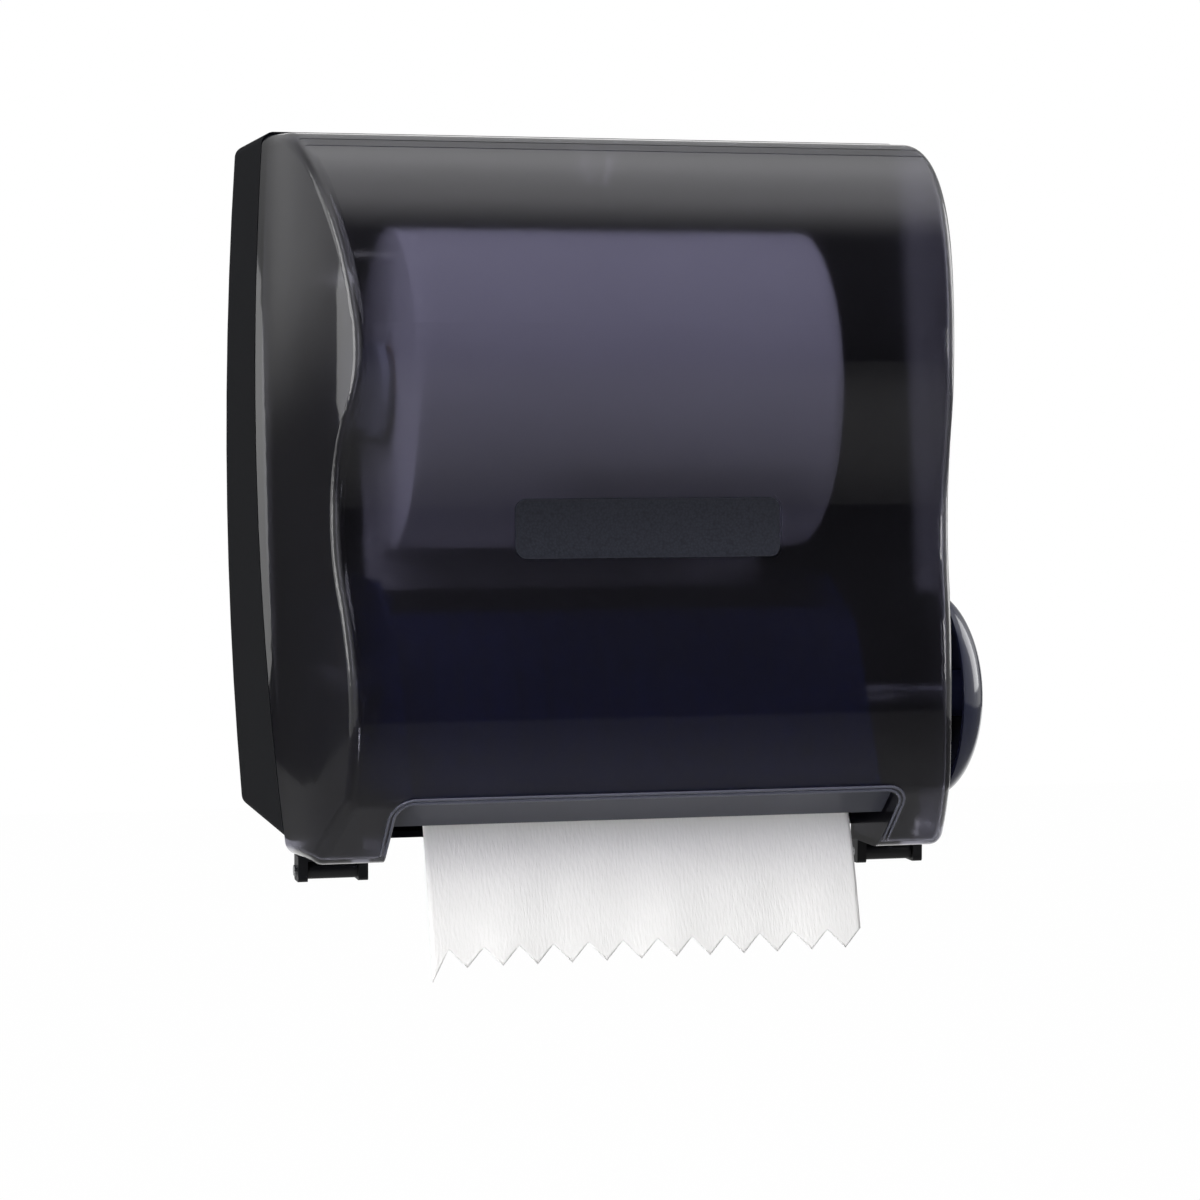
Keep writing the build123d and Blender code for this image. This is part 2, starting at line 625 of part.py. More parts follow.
for side, sign in SIDES:
    with BuildPart() as chassis:
        with BuildSketch(Plane.YZ.offset(span(sign, CHASSIS_X, CHASSIS_X + CHASSIS_T))):
            with BuildLine():
                Polyline(
                    (flange_y, DRUM_Z - PLATE_BELOW), (flange_y, DRUM_Z + PLATE_ABOVE),
                    (PINCH_PIVOT_Y + PLATE_EAVE, PINCH_PIVOT_Z + PLATE_CAP),
                    (DRUM_Y - PLATE_FRONT, PINCH_PIVOT_Z + PLATE_CAP), around(DRUM_Y, DRUM_Z, PLATE_R, PLATE_DEG),
                    nose_seat - nose_run * (NOSE_L / 2), nose_back, (DRUM_Y - PLATE_TAIL, nose_back.Y), close=True)
            make_face()
            with Locations((DRUM_Y, DRUM_Z)):
                Circle(BUSH_R + SNUG_FIT, mode=Mode.SUBTRACT)
            with Locations((PINCH_PIVOT_Y, PINCH_PIVOT_Z)):
                Circle(PINCH_ROD_R + SNUG_FIT, mode=Mode.SUBTRACT)
            with Locations((bar.X, bar.Y)):
                Circle(BAR_R + SNUG_FIT, mode=Mode.SUBTRACT)
        extrude(amount=CHASSIS_T)
        with BuildSketch(Plane.XZ.offset(-flange_y)):
            with Locations((sign * screw_x, DRUM_Z)):
                Rectangle(FLANGE_W, 2 * (SCREW_SPAN + FLANGE_OVER))
            with Locations(*[(sign * screw_x, z) for z in screw_zs]):
                Circle(SCREW_R + RUN_FIT, mode=Mode.SUBTRACT)
        extrude(amount=CHASSIS_T)
    chassis.part.label = f"chassis_{side}"
    export_step(chassis.part, f"parts/chassis_{side}.step")

    for name, z in zip(("lower", "upper"), screw_zs):
        with BuildPart() as screw:
            with BuildSketch(Plane.XZ.offset(T_BACK + BOSS_H + CHASSIS_T)):
                with Locations((sign * screw_x, z)):
                    Circle(SCREW_HEAD_R)
            extrude(amount=SCREW_HEAD_T)
            with BuildSketch(Plane.XZ.offset(T_BACK + BOSS_H + CHASSIS_T)):
                with Locations((sign * screw_x, z)):
                    Circle(SCREW_R)
            extrude(amount=-(SCREW_L + CHASSIS_T - SCREW_TIP_GAP))
            with BuildSketch(Plane.XZ.offset(T_BACK + BOSS_H + CHASSIS_T + SCREW_HEAD_T)):
                with Locations((sign * screw_x, z)):
                    Rectangle(SCREW_SLOT_L, SCREW_SLOT_W)
                    Rectangle(SCREW_SLOT_W, SCREW_SLOT_L)
            extrude(amount=-SCREW_SLOT_D, mode=Mode.SUBTRACT)
        screw.part.label = f"chassis_screw_{side}_{name}"
        export_step(screw.part, f"parts/chassis_screw_{side}_{name}.step")

    with BuildPart() as drum_bush:
        with BuildSketch(Plane.YZ.offset(span(sign, CHASSIS_X - BUSH_RIM_T, CHASSIS_X + CHASSIS_T + BUSH_OUT))):
            with Locations((DRUM_Y, DRUM_Z)):
                Circle(BUSH_R)
                Circle(SHAFT_R + RUN_FIT, mode=Mode.SUBTRACT)
        extrude(amount=CHASSIS_T + BUSH_RIM_T + BUSH_OUT)
        with BuildSketch(Plane.YZ.offset(span(sign, CHASSIS_X - BUSH_RIM_T, CHASSIS_X))):
            with Locations((DRUM_Y, DRUM_Z)):
                Circle(BUSH_R + BUSH_RIM)
                Circle(SHAFT_R + RUN_FIT, mode=Mode.SUBTRACT)
        extrude(amount=BUSH_RIM_T)
    drum_bush.part.label = f"drum_bush_{side}"
    export_step(drum_bush.part, f"parts/drum_bush_{side}.step")

# Feed drum: slotted tube, two caps, shaft, hand wheel and crank
slot_u = Vector(0, cos(radians(SLOT_DEG)), sin(radians(SLOT_DEG)))
slot_v = Vector(0, -sin(radians(SLOT_DEG)), cos(radians(SLOT_DEG)))
drum_axis = Vector(0, DRUM_Y, DRUM_Z)
knife_axis = drum_axis + slot_u * KNIFE_U + slot_v * KNIFE_V
with BuildPart() as feed_drum:
    with BuildSketch(Plane.YZ.offset(-DRUM_HALF)):
        with Locations((DRUM_Y, DRUM_Z)):
            Circle(DRUM_R)
            Circle(DRUM_R - DRUM_WALL, mode=Mode.SUBTRACT)
    extrude(amount=2 * DRUM_HALF)
    with BuildSketch(Plane(origin=drum_axis + slot_v * SLOT_SHIFT, x_dir=(1, 0, 0), z_dir=slot_u)):
        Rectangle(2 * slot_half, SLOT_W)
    extrude(amount=2 * DRUM_R, mode=Mode.SUBTRACT)
feed_drum.part.label = "feed_drum"
export_step(feed_drum.part, "parts/feed_drum.step")

for side, sign in SIDES:
    with BuildPart() as drum_cap:
        with BuildSketch(Plane.YZ.offset(span(sign, DRUM_HALF, DRUM_HALF + CAP_T))):
            with Locations((DRUM_Y, DRUM_Z)):
                Circle(DRUM_R)
        extrude(amount=CAP_T)
        with BuildSketch(Plane.YZ.offset(span(sign, DRUM_HALF - CAP_T, DRUM_HALF))):
            with Locations((DRUM_Y, DRUM_Z)):
                Circle(DRUM_R - DRUM_WALL - SNUG_FIT)
        extrude(amount=CAP_T)
        with BuildSketch(Plane.YZ.offset(span(sign, DRUM_HALF - CAP_T, DRUM_HALF + CAP_T))):
            with Locations((DRUM_Y, DRUM_Z)):
                Circle(SHAFT_R + SNUG_FIT)
            with Locations((knife_axis.Y, knife_axis.Z)):
                Circle(KNIFE_ROD_R + SNUG_FIT)
        extrude(amount=2 * CAP_T, mode=Mode.SUBTRACT)
    drum_cap.part.label = f"drum_cap_{side}"
    export_step(drum_cap.part, f"parts/drum_cap_{side}.step")

with BuildPart() as drum_shaft:
    with BuildSketch(Plane.YZ.offset(shaft_left_x)):
        with Locations((DRUM_Y, DRUM_Z)):
            Circle(SHAFT_R)
    extrude(amount=shaft_right_x - shaft_left_x)
drum_shaft.part.label = "drum_shaft"
export_step(drum_shaft.part, "parts/drum_shaft.step")

with BuildPart() as hand_wheel:
    with BuildSketch(Plane(origin=drum_axis, x_dir=(1, 0, 0), z_dir=(0, -1, 0))):
        with Locations((wheel_x, 0)):
            Ellipse(WHEEL_DOME, WHEEL_R)
            Ellipse(WHEEL_DOME - WHEEL_T, WHEEL_R - WHEEL_T, mode=Mode.SUBTRACT)
        with Locations((wheel_back_x, 0)):
            Rectangle(wheel_x + WHEEL_DOME - WHEEL_T - wheel_back_x, WHEEL_HUB_R, align=(Align.MIN, Align.MIN))
            Rectangle(shaft_right_x - wheel_back_x, SHAFT_R + SNUG_FIT, align=(Align.MIN, Align.MIN),
                      mode=Mode.SUBTRACT)
            Rectangle(WHEEL_DOME, WHEEL_R, align=(Align.MIN, Align.MIN), mode=Mode.INTERSECT)
    revolve(axis=Axis((0, DRUM_Y, DRUM_Z), (1, 0, 0)))
hand_wheel.part.label = "hand_wheel"
export_step(hand_wheel.part, "parts/hand_wheel.step")

crank_pin = around(DRUM_Y, DRUM_Z, CRANK_R, CRANK_DEG)
with BuildPart() as drum_crank:
    with BuildSketch(Plane.YZ.offset(crank_x - CRANK_T)):
        SlotCenterPoint(((DRUM_Y + crank_pin[0]) / 2, (DRUM_Z + crank_pin[1]) / 2), crank_pin, CRANK_W)
        with Locations((DRUM_Y, DRUM_Z)):
            Circle(CRANK_EYE_R)
            Circle(SHAFT_R + SNUG_FIT, mode=Mode.SUBTRACT)
    extrude(amount=CRANK_T)
    with BuildSketch(Plane.YZ.offset(spring_x - PIN_OVER)):
        with Locations(crank_pin):
            Circle(CRANK_PIN_R)
    extrude(amount=crank_x - CRANK_T - spring_x + PIN_OVER)
drum_crank.part.label = "drum_crank"
export_step(drum_crank.part, "parts/drum_crank.step")

# Index spring between the crank pin and a post on the left side plate
with BuildPart() as spring_post:
    with BuildSketch(Plane.YZ.offset(spring_x - PIN_OVER)):
        with Locations((POST_Y, crank_pin[1])):
            Circle(CRANK_PIN_R)
    extrude(amount=-CHASSIS_X - CHASSIS_T - spring_x + PIN_OVER)
spring_post.part.label = "spring_post"
export_step(spring_post.part, "parts/spring_post.step")

hook_r = CRANK_PIN_R + WIRE_R + SKIN_GAP
coil_z = crank_pin[1]
coil_mid = (crank_pin[0] + POST_Y) / 2
wire = [(spring_x, *around(crank_pin[0], coil_z, hook_r, deg)) for deg in range(300, 89, -30)]
for i in range(-LEAD_STEPS, round(COILS * COIL_STEPS) + LEAD_STEPS + 1):
    turns = min(max(i / COIL_STEPS, 0.0), COILS)
    sign = copysign(1.0, i)
    out = abs(i / COIL_STEPS - turns) * COIL_STEPS / LEAD_STEPS
    angle = 2 * pi * turns + radians(120 + sign * 60 * (out - out**2 / 2))
    wire.append((spring_x + SPRING_R * cos(angle),
                 coil_mid + COIL_PITCH * (turns - COILS / 2) + sign * LEAD_L * out**2,
                 coil_z + SPRING_R * sin(angle)))
wire += [(spring_x, *around(POST_Y, coil_z, hook_r, deg)) for deg in range(90, -121, -30)]
spring_gap = min(dist(a, b) for i, a in enumerate(wire) for b in wire[i + COIL_STEPS // 2:]) - 2 * WIRE_R
print(f"index spring least gap {spring_gap:.2f} mm")
with BuildPart() as index_spring:
    with BuildLine():
        path = Spline(*wire)
    with BuildSketch(Plane(origin=path @ 0, z_dir=path % 0)):
        Circle(WIRE_R)
    sweep()
index_spring.part.label = "index_spring"
export_step(index_spring.part, "parts/index_spring.step")

# Knife: rod in the caps, carrier and toothed blade
arm_dir = slot_u * cos(radians(KNIFE_DEG)) + slot_v * sin(radians(KNIFE_DEG))
arm_face = Vector(0, -arm_dir.Z, arm_dir.Y)
knife_plane = Plane(origin=knife_axis, x_dir=(1, 0, 0), z_dir=arm_face)
with BuildPart() as knife_rod:
    with BuildSketch(Plane.YZ.offset(-DRUM_HALF - CAP_T)):
        with Locations((knife_axis.Y, knife_axis.Z)):
            Circle(KNIFE_ROD_R)
    extrude(amount=2 * (DRUM_HALF + CAP_T))
knife_rod.part.label = "knife_rod"
export_step(knife_rod.part, "parts/knife_rod.step")

with BuildPart() as knife_carrier:
    with BuildSketch(Plane.YZ.offset(-knife_half)):
        with Locations((knife_axis.Y, knife_axis.Z)):
            Circle(KNIFE_TUBE_R)
    extrude(amount=2 * knife_half)
    with BuildSketch(knife_plane.offset(-KNIFE_PLATE_T)):
        with Locations((0, KNIFE_L / 3)):
            Rectangle(2 * knife_half, 2 * KNIFE_L / 3)
    extrude(amount=KNIFE_PLATE_T)
    with BuildSketch(Plane.YZ.offset(-knife_half)):
        with Locations((knife_axis.Y, knife_axis.Z)):
            Circle(KNIFE_ROD_R + RUN_FIT)
    extrude(amount=2 * knife_half, mode=Mode.SUBTRACT)
knife_carrier.part.label = "knife_carrier"
export_step(knife_carrier.part, "parts/knife_carrier.step")

edge = [(-teeth * TOOTH_PITCH / 2 + i * TOOTH_PITCH / 2, KNIFE_L - (0 if i % 2 else TOOTH_H))
        for i in range(2 * teeth + 1)]
with BuildPart() as knife_blade:
    with BuildSketch(knife_plane):
        with BuildLine():
            Polyline((edge[0][0], BLADE_ROOT), *edge, (edge[-1][0], BLADE_ROOT), close=True)
        make_face()
    extrude(amount=BLADE_T)
knife_blade.part.label = "knife_blade"
export_step(knife_blade.part, "parts/knife_blade.step")

# Pinch roller on two arms, rocking on a cross rod; guide bar behind it
for name, y, z, r in (("pinch_rod", PINCH_PIVOT_Y, PINCH_PIVOT_Z, PINCH_ROD_R), ("guide_bar", bar.X, bar.Y, BAR_R)):
    with BuildPart() as cross_bar:
        with BuildSketch(Plane.YZ.offset(-CHASSIS_X - CHASSIS_T)):
            with Locations((y, z)):
                Circle(r)
        extrude(amount=2 * (CHASSIS_X + CHASSIS_T))
    cross_bar.part.label = name
    export_step(cross_bar.part, f"parts/{name}.step")

for side, sign in SIDES:
    with BuildPart() as pinch_arm:
        with BuildSketch(Plane.YZ.offset(span(sign, pinch_arm_x, pinch_arm_x + PINCH_ARM_T))):
            with Locations((PINCH_PIVOT_Y, PINCH_PIVOT_Z), (pinch_y, pinch_z)):
                Circle(PINCH_EYE_R)
            make_hull()
            with Locations((PINCH_PIVOT_Y, PINCH_PIVOT_Z), (pinch_y, pinch_z)):
                Circle(PINCH_ROD_R + RUN_FIT, mode=Mode.SUBTRACT)
        extrude(amount=PINCH_ARM_T)
    pinch_arm.part.label = f"pinch_arm_{side}"
    export_step(pinch_arm.part, f"parts/pinch_arm_{side}.step")

with BuildPart() as pinch_roller:
    with BuildSketch(Plane.YZ.offset(-pinch_half)):
        with Locations((pinch_y, pinch_z)):
            Circle(PINCH_R)
            Circle(PINCH_ROD_R + SNUG_FIT, mode=Mode.SUBTRACT)
    extrude(amount=2 * pinch_half)
pinch_roller.part.label = "pinch_roller"
export_step(pinch_roller.part, "parts/pinch_roller.step")

with BuildPart() as pinch_axle:
    with BuildSketch(Plane.YZ.offset(-pinch_arm_x - 2 * PINCH_ARM_T)):
        with Locations((pinch_y, pinch_z)):
            Circle(PINCH_ROD_R)
    extrude(amount=2 * (pinch_arm_x + 2 * PINCH_ARM_T))
pinch_axle.part.label = "pinch_axle"
export_step(pinch_axle.part, "parts/pinch_axle.step")

# Paper guides: ribbed front guide, rear guide and nose strip
guide_r = DRUM_R + SKIN_GAP + WEB_T / 2 + GUIDE_GAP
rib_limit = CHASSIS_X - RIB_EDGE
groups = int(rib_limit / RIB_GROUP_PITCH) + 2
rib_xs = [RIB_GROUP_X + n * RIB_GROUP_PITCH + k * RIB_PITCH
          for n in range(-groups, groups + 1) for k in range(-2, 3)]
with BuildPart() as front_guide:
    with BuildSketch(Plane.YZ.offset(-CHASSIS_X)):
        with BuildLine():
            inner = CenterArc((DRUM_Y, DRUM_Z), guide_r, GUIDE_TOP_DEG, LEAVE_DEG - GUIDE_TOP_DEG)
            outer = CenterArc((DRUM_Y, DRUM_Z), guide_r + GUIDE_T, GUIDE_TOP_DEG, LEAVE_DEG - GUIDE_TOP_DEG)
            Polyline(inner @ 1, inner @ 1 + feed_out * GUIDE_L, outer @ 1 + feed_out * GUIDE_L, outer @ 1)
            Line(inner @ 0, outer @ 0)
        make_face()
    extrude(amount=2 * CHASSIS_X)
    for x in [x for x in rib_xs if abs(x) < rib_limit]:
        with BuildSketch(Plane.YZ.offset(x - RIB_W / 2)):
            with BuildLine():
                root = CenterArc((DRUM_Y, DRUM_Z), guide_r + GUIDE_T - RIB_SINK, GUIDE_TOP_DEG + 2,
                                 LEAVE_DEG - GUIDE_TOP_DEG - 2)
                crest = CenterArc((DRUM_Y, DRUM_Z), guide_r + GUIDE_T + RIB_H, GUIDE_TOP_DEG + 4,
                                  LEAVE_DEG - GUIDE_TOP_DEG - 4)
                Polyline(root @ 1, root @ 1 + feed_out * (RIB_L + RIB_RAMP), crest @ 1 + feed_out * RIB_L, crest @ 1)
                Line(root @ 0, crest @ 0)
            make_face()
        extrude(amount=RIB_W)
front_guide.part.label = "front_guide"
export_step(front_guide.part, "parts/front_guide.step")

with BuildPart() as rear_guide:
    with BuildSketch(Plane.YZ.offset(-CHASSIS_X)):
        with BuildLine():
            near = leave - ahead * REAR_GAP
            far = near - ahead * REAR_T
            rear_l = GUIDE_L + REAR_OVER
            Polyline(near + feed_out * REAR_FROM, near + feed_out * rear_l,
                     far + feed_out * (rear_l - REAR_RAMP), far + feed_out * REAR_FROM, close=True)
        make_face()
    extrude(amount=2 * CHASSIS_X)
rear_guide.part.label = "rear_guide"
export_step(rear_guide.part, "parts/rear_guide.step")

nose_half = EXIT_HALF - NOSE_END_GAP
with BuildPart() as nose_strip:
    with BuildSketch(Plane.YZ.offset(-nose_half)):
        with Locations(Location((nose_mid.X, nose_mid.Y), NOSE_DEG)):
            Rectangle(NOSE_L, NOSE_T)
    extrude(amount=2 * nose_half)
nose_strip.part.label = "nose_strip"
export_step(nose_strip.part, "parts/nose_strip.step")

# Roll of towel on its core, carried by two swinging arms with hubs
for name, outer_r, inner_r in (("towel_roll", ROLL_R, CORE_R + SNUG_FIT), ("roll_core", CORE_R, CORE_R - CORE_T)):
    with BuildPart() as tube:
        with BuildSketch(Plane.YZ.offset(-TOWEL_HALF)):
            with Locations((ROLL_Y, ROLL_Z)):
                Circle(outer_r)
                Circle(inner_r, mode=Mode.SUBTRACT)
        extrude(amount=2 * TOWEL_HALF)
    tube.part.label = name
    export_step(tube.part, f"parts/{name}.step")

for side, sign in SIDES:
    with BuildPart() as roll_arm:
        with BuildSketch(Plane.YZ.offset(span(sign, ARM_X, ARM_X + ARM_T))):
            with Locations((ARM_PIVOT_Y - ARM_ROOT, ROLL_Z)):
                Circle(ARM_BARREL_H / 3)
            with Locations((ROLL_Y, ROLL_Z)):
                Circle(HUB_BASE_R + ARM_RIM)
            make_hull()
        extrude(amount=ARM_T)
        with BuildSketch(Plane.XY.offset(ROLL_Z - ARM_BARREL_H / 2)):
            with Locations((sign * arm_mid_x, ARM_PIVOT_Y)):
                Circle(ARM_BARREL_R)
        extrude(amount=ARM_BARREL_H)
        with BuildSketch(Plane.XZ.offset(T_BACK)):
            with Locations((sign * arm_mid_x, ROLL_Z)):
                Rectangle(4 * ARM_T, ARM_BARREL_H)
        extrude(amount=-ARM_PIVOT_Y - ARM_BARREL_R - T_BACK, mode=Mode.SUBTRACT)
        with BuildSketch(Plane.XY.offset(ROLL_Z - ARM_BARREL_H / 2)):
            with Locations((sign * arm_mid_x, ARM_PIVOT_Y)):
                Circle(ARM_PIN_R + RUN_FIT)
        extrude(amount=ARM_BARREL_H, mode=Mode.SUBTRACT)
    roll_arm.part.label = f"roll_arm_{side}"
    export_step(roll_arm.part, f"parts/roll_arm_{side}.step")

    with BuildPart() as roll_hub:
        with BuildSketch(Plane.YZ.offset(sign * ARM_X)):
            with Locations((ROLL_Y, ROLL_Z)):
                Circle(HUB_BASE_R)
        with BuildSketch(Plane.YZ.offset(sign * (ARM_X - HUB_L))):
            with Locations((ROLL_Y, ROLL_Z)):
                Circle(HUB_TIP_R)
        loft()
    roll_hub.part.label = f"roll_hub_{side}"
    export_step(roll_hub.part, f"parts/roll_hub_{side}.step")

    with BuildPart() as arm_pin:
        with BuildSketch(Plane.XY.offset(ROLL_Z - ARM_BARREL_H / 2 - SKIN_GAP - LUG_T)):
            with Locations((sign * arm_mid_x, ARM_PIVOT_Y)):
                Circle(ARM_PIN_R)
        extrude(amount=ARM_BARREL_H + 2 * (SKIN_GAP + LUG_T))
    arm_pin.part.label = f"arm_pin_{side}"
    export_step(arm_pin.part, f"parts/arm_pin_{side}.step")

# Towel web: off the back of the roll, under the bar, over the drum and out as the tail
roll_wrap = ROLL_R + SKIN_GAP
bar_wrap = BAR_R + SKIN_GAP
span_y, span_z = bar.X - ROLL_Y, bar.Y - ROLL_Z
tangent_deg = degrees(atan2(span_z, span_y)) + degrees(acos((roll_wrap - bar_wrap) / sqrt(span_y**2 + span_z**2)))
bar_leave_deg = NIP_DEG - 180
with BuildPart() as towel_tail:
    with BuildSketch(Plane.YZ.offset(-TOWEL_HALF)):
        skins = []
        with BuildLine():
            for out in (0.0, WEB_T):
                drum_r = DRUM_R + SKIN_GAP + out
                bar_r = bar_wrap + WEB_T - out
                roll_r = roll_wrap + WEB_T - out
                roll_end = around(ROLL_Y, ROLL_Z, roll_r, tangent_deg)
                wrap = CenterArc((bar.X, bar.Y), bar_r, tangent_deg, bar_leave_deg - tangent_deg)
                over = CenterArc((DRUM_Y, DRUM_Z), drum_r, NIP_DEG, LEAVE_DEG - NIP_DEG)
                Line(roll_end, wrap @ 0)
                Line(wrap @ 1, over @ 0)
                down = Line(over @ 1, over @ 1 + feed_out * TAIL_START)
                bend = JernArc(down @ 1, feed_out, TAIL_R + out, TAIL_TURN)
                drop_l = ((bend @ 1).Y - TAIL_END_Z + TEAR_CORNER) / -(bend % 1).Y
                tip = Line(bend @ 1, bend @ 1 + (bend % 1) * drop_l)
                skins.append((Vector(*roll_end), tip @ 1))
            Line(skins[0][0], skins[1][0])
            Line(skins[0][1], skins[1][1])
        make_face()
    extrude(amount=2 * TOWEL_HALF)
    tear_steps = int(4 * TOWEL_HALF / TOOTH_PITCH) + 2
    tear = [(i * TOOTH_PITCH / 2 - TOWEL_HALF, TAIL_END_Z + TEAR_RISE * i / tear_steps + (TEAR_H if i % 2 else 0))
            for i in range(1, tear_steps)]
    tear.insert(0, (-TOWEL_HALF, TAIL_END_Z - TEAR_CORNER))
    tear.insert(0, (-TOWEL_HALF - TOOTH_PITCH, TAIL_END_Z - TEAR_CORNER))
    with BuildSketch(Plane.XZ):
        with BuildLine():
            Polyline((tear[0][0], -reach), *tear, (tear[-1][0], -reach), close=True)
        make_face()
    extrude(amount=reach, mode=Mode.SUBTRACT)
towel_tail.part.label = "towel_tail"
export_step(towel_tail.part, "parts/towel_tail.step")
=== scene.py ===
# Wall-hung roll towel dispenser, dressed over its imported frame. Metres; front toward -Y, Z up, wall at Y = 0.
import math

import bpy
import numpy as np
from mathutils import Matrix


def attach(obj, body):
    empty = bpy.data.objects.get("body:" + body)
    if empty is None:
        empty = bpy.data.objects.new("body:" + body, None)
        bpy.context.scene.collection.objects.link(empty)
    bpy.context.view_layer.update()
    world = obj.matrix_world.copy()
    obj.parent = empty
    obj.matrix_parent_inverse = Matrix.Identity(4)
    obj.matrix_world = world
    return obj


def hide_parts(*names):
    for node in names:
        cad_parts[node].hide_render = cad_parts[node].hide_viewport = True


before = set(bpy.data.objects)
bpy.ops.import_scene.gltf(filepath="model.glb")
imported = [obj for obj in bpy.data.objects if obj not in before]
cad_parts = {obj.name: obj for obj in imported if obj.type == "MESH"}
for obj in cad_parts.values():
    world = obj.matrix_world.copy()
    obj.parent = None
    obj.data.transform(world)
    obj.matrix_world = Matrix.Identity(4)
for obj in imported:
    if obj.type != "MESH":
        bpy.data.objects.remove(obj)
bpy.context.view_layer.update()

# Camera: a long lens a little above the middle of the dispenser, off to its left,
# so the left side, the front and the towel's torn edge all show.
CAMERA_PLACE = (-0.3885, -1.6762, 0.0377)
CAMERA_TURN = (90.0 - 3.378, 0.0, -14.0)
CAMERA_LENS = 100.29

camera = bpy.data.objects.new("camera", bpy.data.cameras.new("camera"))
bpy.context.scene.collection.objects.link(camera)
camera.location = CAMERA_PLACE
camera.rotation_euler = [math.radians(turn) for turn in CAMERA_TURN]
camera.data.lens = CAMERA_LENS
camera.data.sensor_width = 36.0
bpy.context.scene.camera = camera
bpy.context.scene.view_settings.view_transform = "Standard"

# Studio: a pale floor that turns white behind the dispenser, up to a soft white patch of the wall, in a room
# that is pale at the back, the sides and overhead and dim in front. A broad soft box lights the dispenser,
# and narrow ones draw its edges.
FLOOR_Z = -0.9
FLOOR_HALF = 6.0
SWEEP_FRONT = (0.2, 1.8)
SWEEP_SIDE = (0.2, 0.4)
SWEEP_SOFT = 0.8
SWEEP_WHITE = 0.99
BACKDROP_EDGE = (0.935, 0.968)
ROOM_DIM, ROOM_WALL, ROOM_OVER, ROOM_SIDE = 0.025, 0.28, 0.8, 0.7
WALL_RISE, OVER_RISE, BACK_TURN, SIDE_TURN = (-0.005, 0.05), (0.5, 0.85), (-0.3, 0.15), (0.58, 0.85)
# Each soft box: name, place, aim, size, watts, spread in degrees, and whether gloss mirrors it.
SOFT_BOXES = (
    ("box_key", (-0.80, -0.95, 1.42), (0.0, -0.2, 0.05), (1.7, 1.7), 42.0, 180.0, False),
    ("box_left", (-1.44, 0.30, 0.27), (-0.14, -0.22, 0.1), (0.5, 0.8), 4.4, 180.0, True),
    ("box_rear", (-1.23, 0.88, 0.20), (-0.14, -0.15, 0.1), (0.45, 0.8), 1.0, 180.0, True),
    ("box_right", (1.11, -1.24, 0.27), (0.14, -0.22, 0.0), (0.12, 0.6), 2.0, 180.0, True),
    ("box_far_right", (1.50, 0.35, 0.35), (0.16, -0.1, 0.0), (0.7, 1.0), 6.0, 180.0, True),
    ("box_towel", (-0.62, -1.0, -0.36), (-0.02, -0.2, -0.215), (0.6, 0.2), 0.24, 26.0, False),
)


def srgb(code):
    """Linear colour of an sRGB hex code: c / 12.92 up to 0.04045, else ((c + 0.055) / 1.055) ** 2.4."""
    parts = np.array([int(code[k:k + 2], 16) for k in (1, 3, 5)]) / 255
    linear = np.where(parts <= 0.04045, parts / 12.92, ((parts + 0.055) / 1.055) ** 2.4)
    return (*linear, 1.0)


def put(tree, kind, inputs=(), **settings):
    """Adds one shader node: settings are its own properties, inputs its sockets' values or links."""
    made = tree.nodes.new(kind)
    for name, value in settings.items():
        setattr(made, name, value)
    for socket, value in dict(inputs).items():
        if isinstance(value, bpy.types.NodeSocket):
            tree.links.new(value, made.inputs[socket])
        else:
            made.inputs[socket].default_value = value
    return made


def new_material(name):
    """An empty material and its node tree."""
    made = bpy.data.materials.new(name)
    made.use_nodes = True
    made.node_tree.nodes.clear()
    return made, made.node_tree


def grid_mesh(name, points, loop_u=False, loop_v=False, uv=None):
    """A mesh from an array of points (rows, columns, 3): each four neighbours make one face."""
    rows, columns = points.shape[:2]
    at = np.arange(rows * columns).reshape(rows, columns)
    down = np.roll(at, -1, 0) if loop_u else at[1:]
    here = at if loop_u else at[:-1]
    corners = [here, down, np.roll(down, -1, 1), np.roll(here, -1, 1)]
    if not loop_v:
        corners = [c[:, :-1] for c in corners]
    faces = np.stack(corners, -1).reshape(-1, 4)
    mesh = bpy.data.meshes.new(name)
    mesh.from_pydata(points.reshape(-1, 3).tolist(), [], faces.tolist())
    if uv is not None:
        layer = mesh.uv_layers.new(name="flat")
        spots = np.empty(len(mesh.loops), int)
        mesh.loops.foreach_get("vertex_index", spots)
        layer.data.foreach_set("uv", uv.reshape(-1, 2)[spots].astype(np.float32).ravel())
    mesh.shade_smooth()
    mesh.update()
    made = bpy.data.objects.new(name, mesh)
    bpy.context.scene.collection.objects.link(made)
    return made


floor_pale, tree = new_material("pale_floor_with_white_sweep")
place = put(tree, "ShaderNodeTexCoord")
turned = put(tree, "ShaderNodeMapping", {"Vector": place.outputs["Object"],
                                         "Rotation": (0.0, 0.0, math.radians(-CAMERA_TURN[2]))})
split = put(tree, "ShaderNodeSeparateXYZ", {0: turned.outputs[0]})
back = put(tree, "ShaderNodeMapRange", {0: split.outputs[1], 1: SWEEP_FRONT[0], 2: SWEEP_FRONT[1]},
           interpolation_type="SMOOTHSTEP")
off = put(tree, "ShaderNodeMath", {0: split.outputs[0]}, operation="ABSOLUTE")
spread = put(tree, "ShaderNodeMath", {0: split.outputs[1], 1: SWEEP_SIDE[1], 2: SWEEP_SIDE[0]},
             operation="MULTIPLY_ADD")
beside = put(tree, "ShaderNodeMath", {0: spread.outputs[0], 1: off.outputs[0]}, operation="SUBTRACT")
inside = put(tree, "ShaderNodeMapRange", {0: beside.outputs[0], 1: -SWEEP_SOFT, 2: 0.0},
             interpolation_type="SMOOTHSTEP")
sweep = put(tree, "ShaderNodeMath", {0: back.outputs[0], 1: inside.outputs[0]}, operation="MULTIPLY")
path = put(tree, "ShaderNodeLightPath")
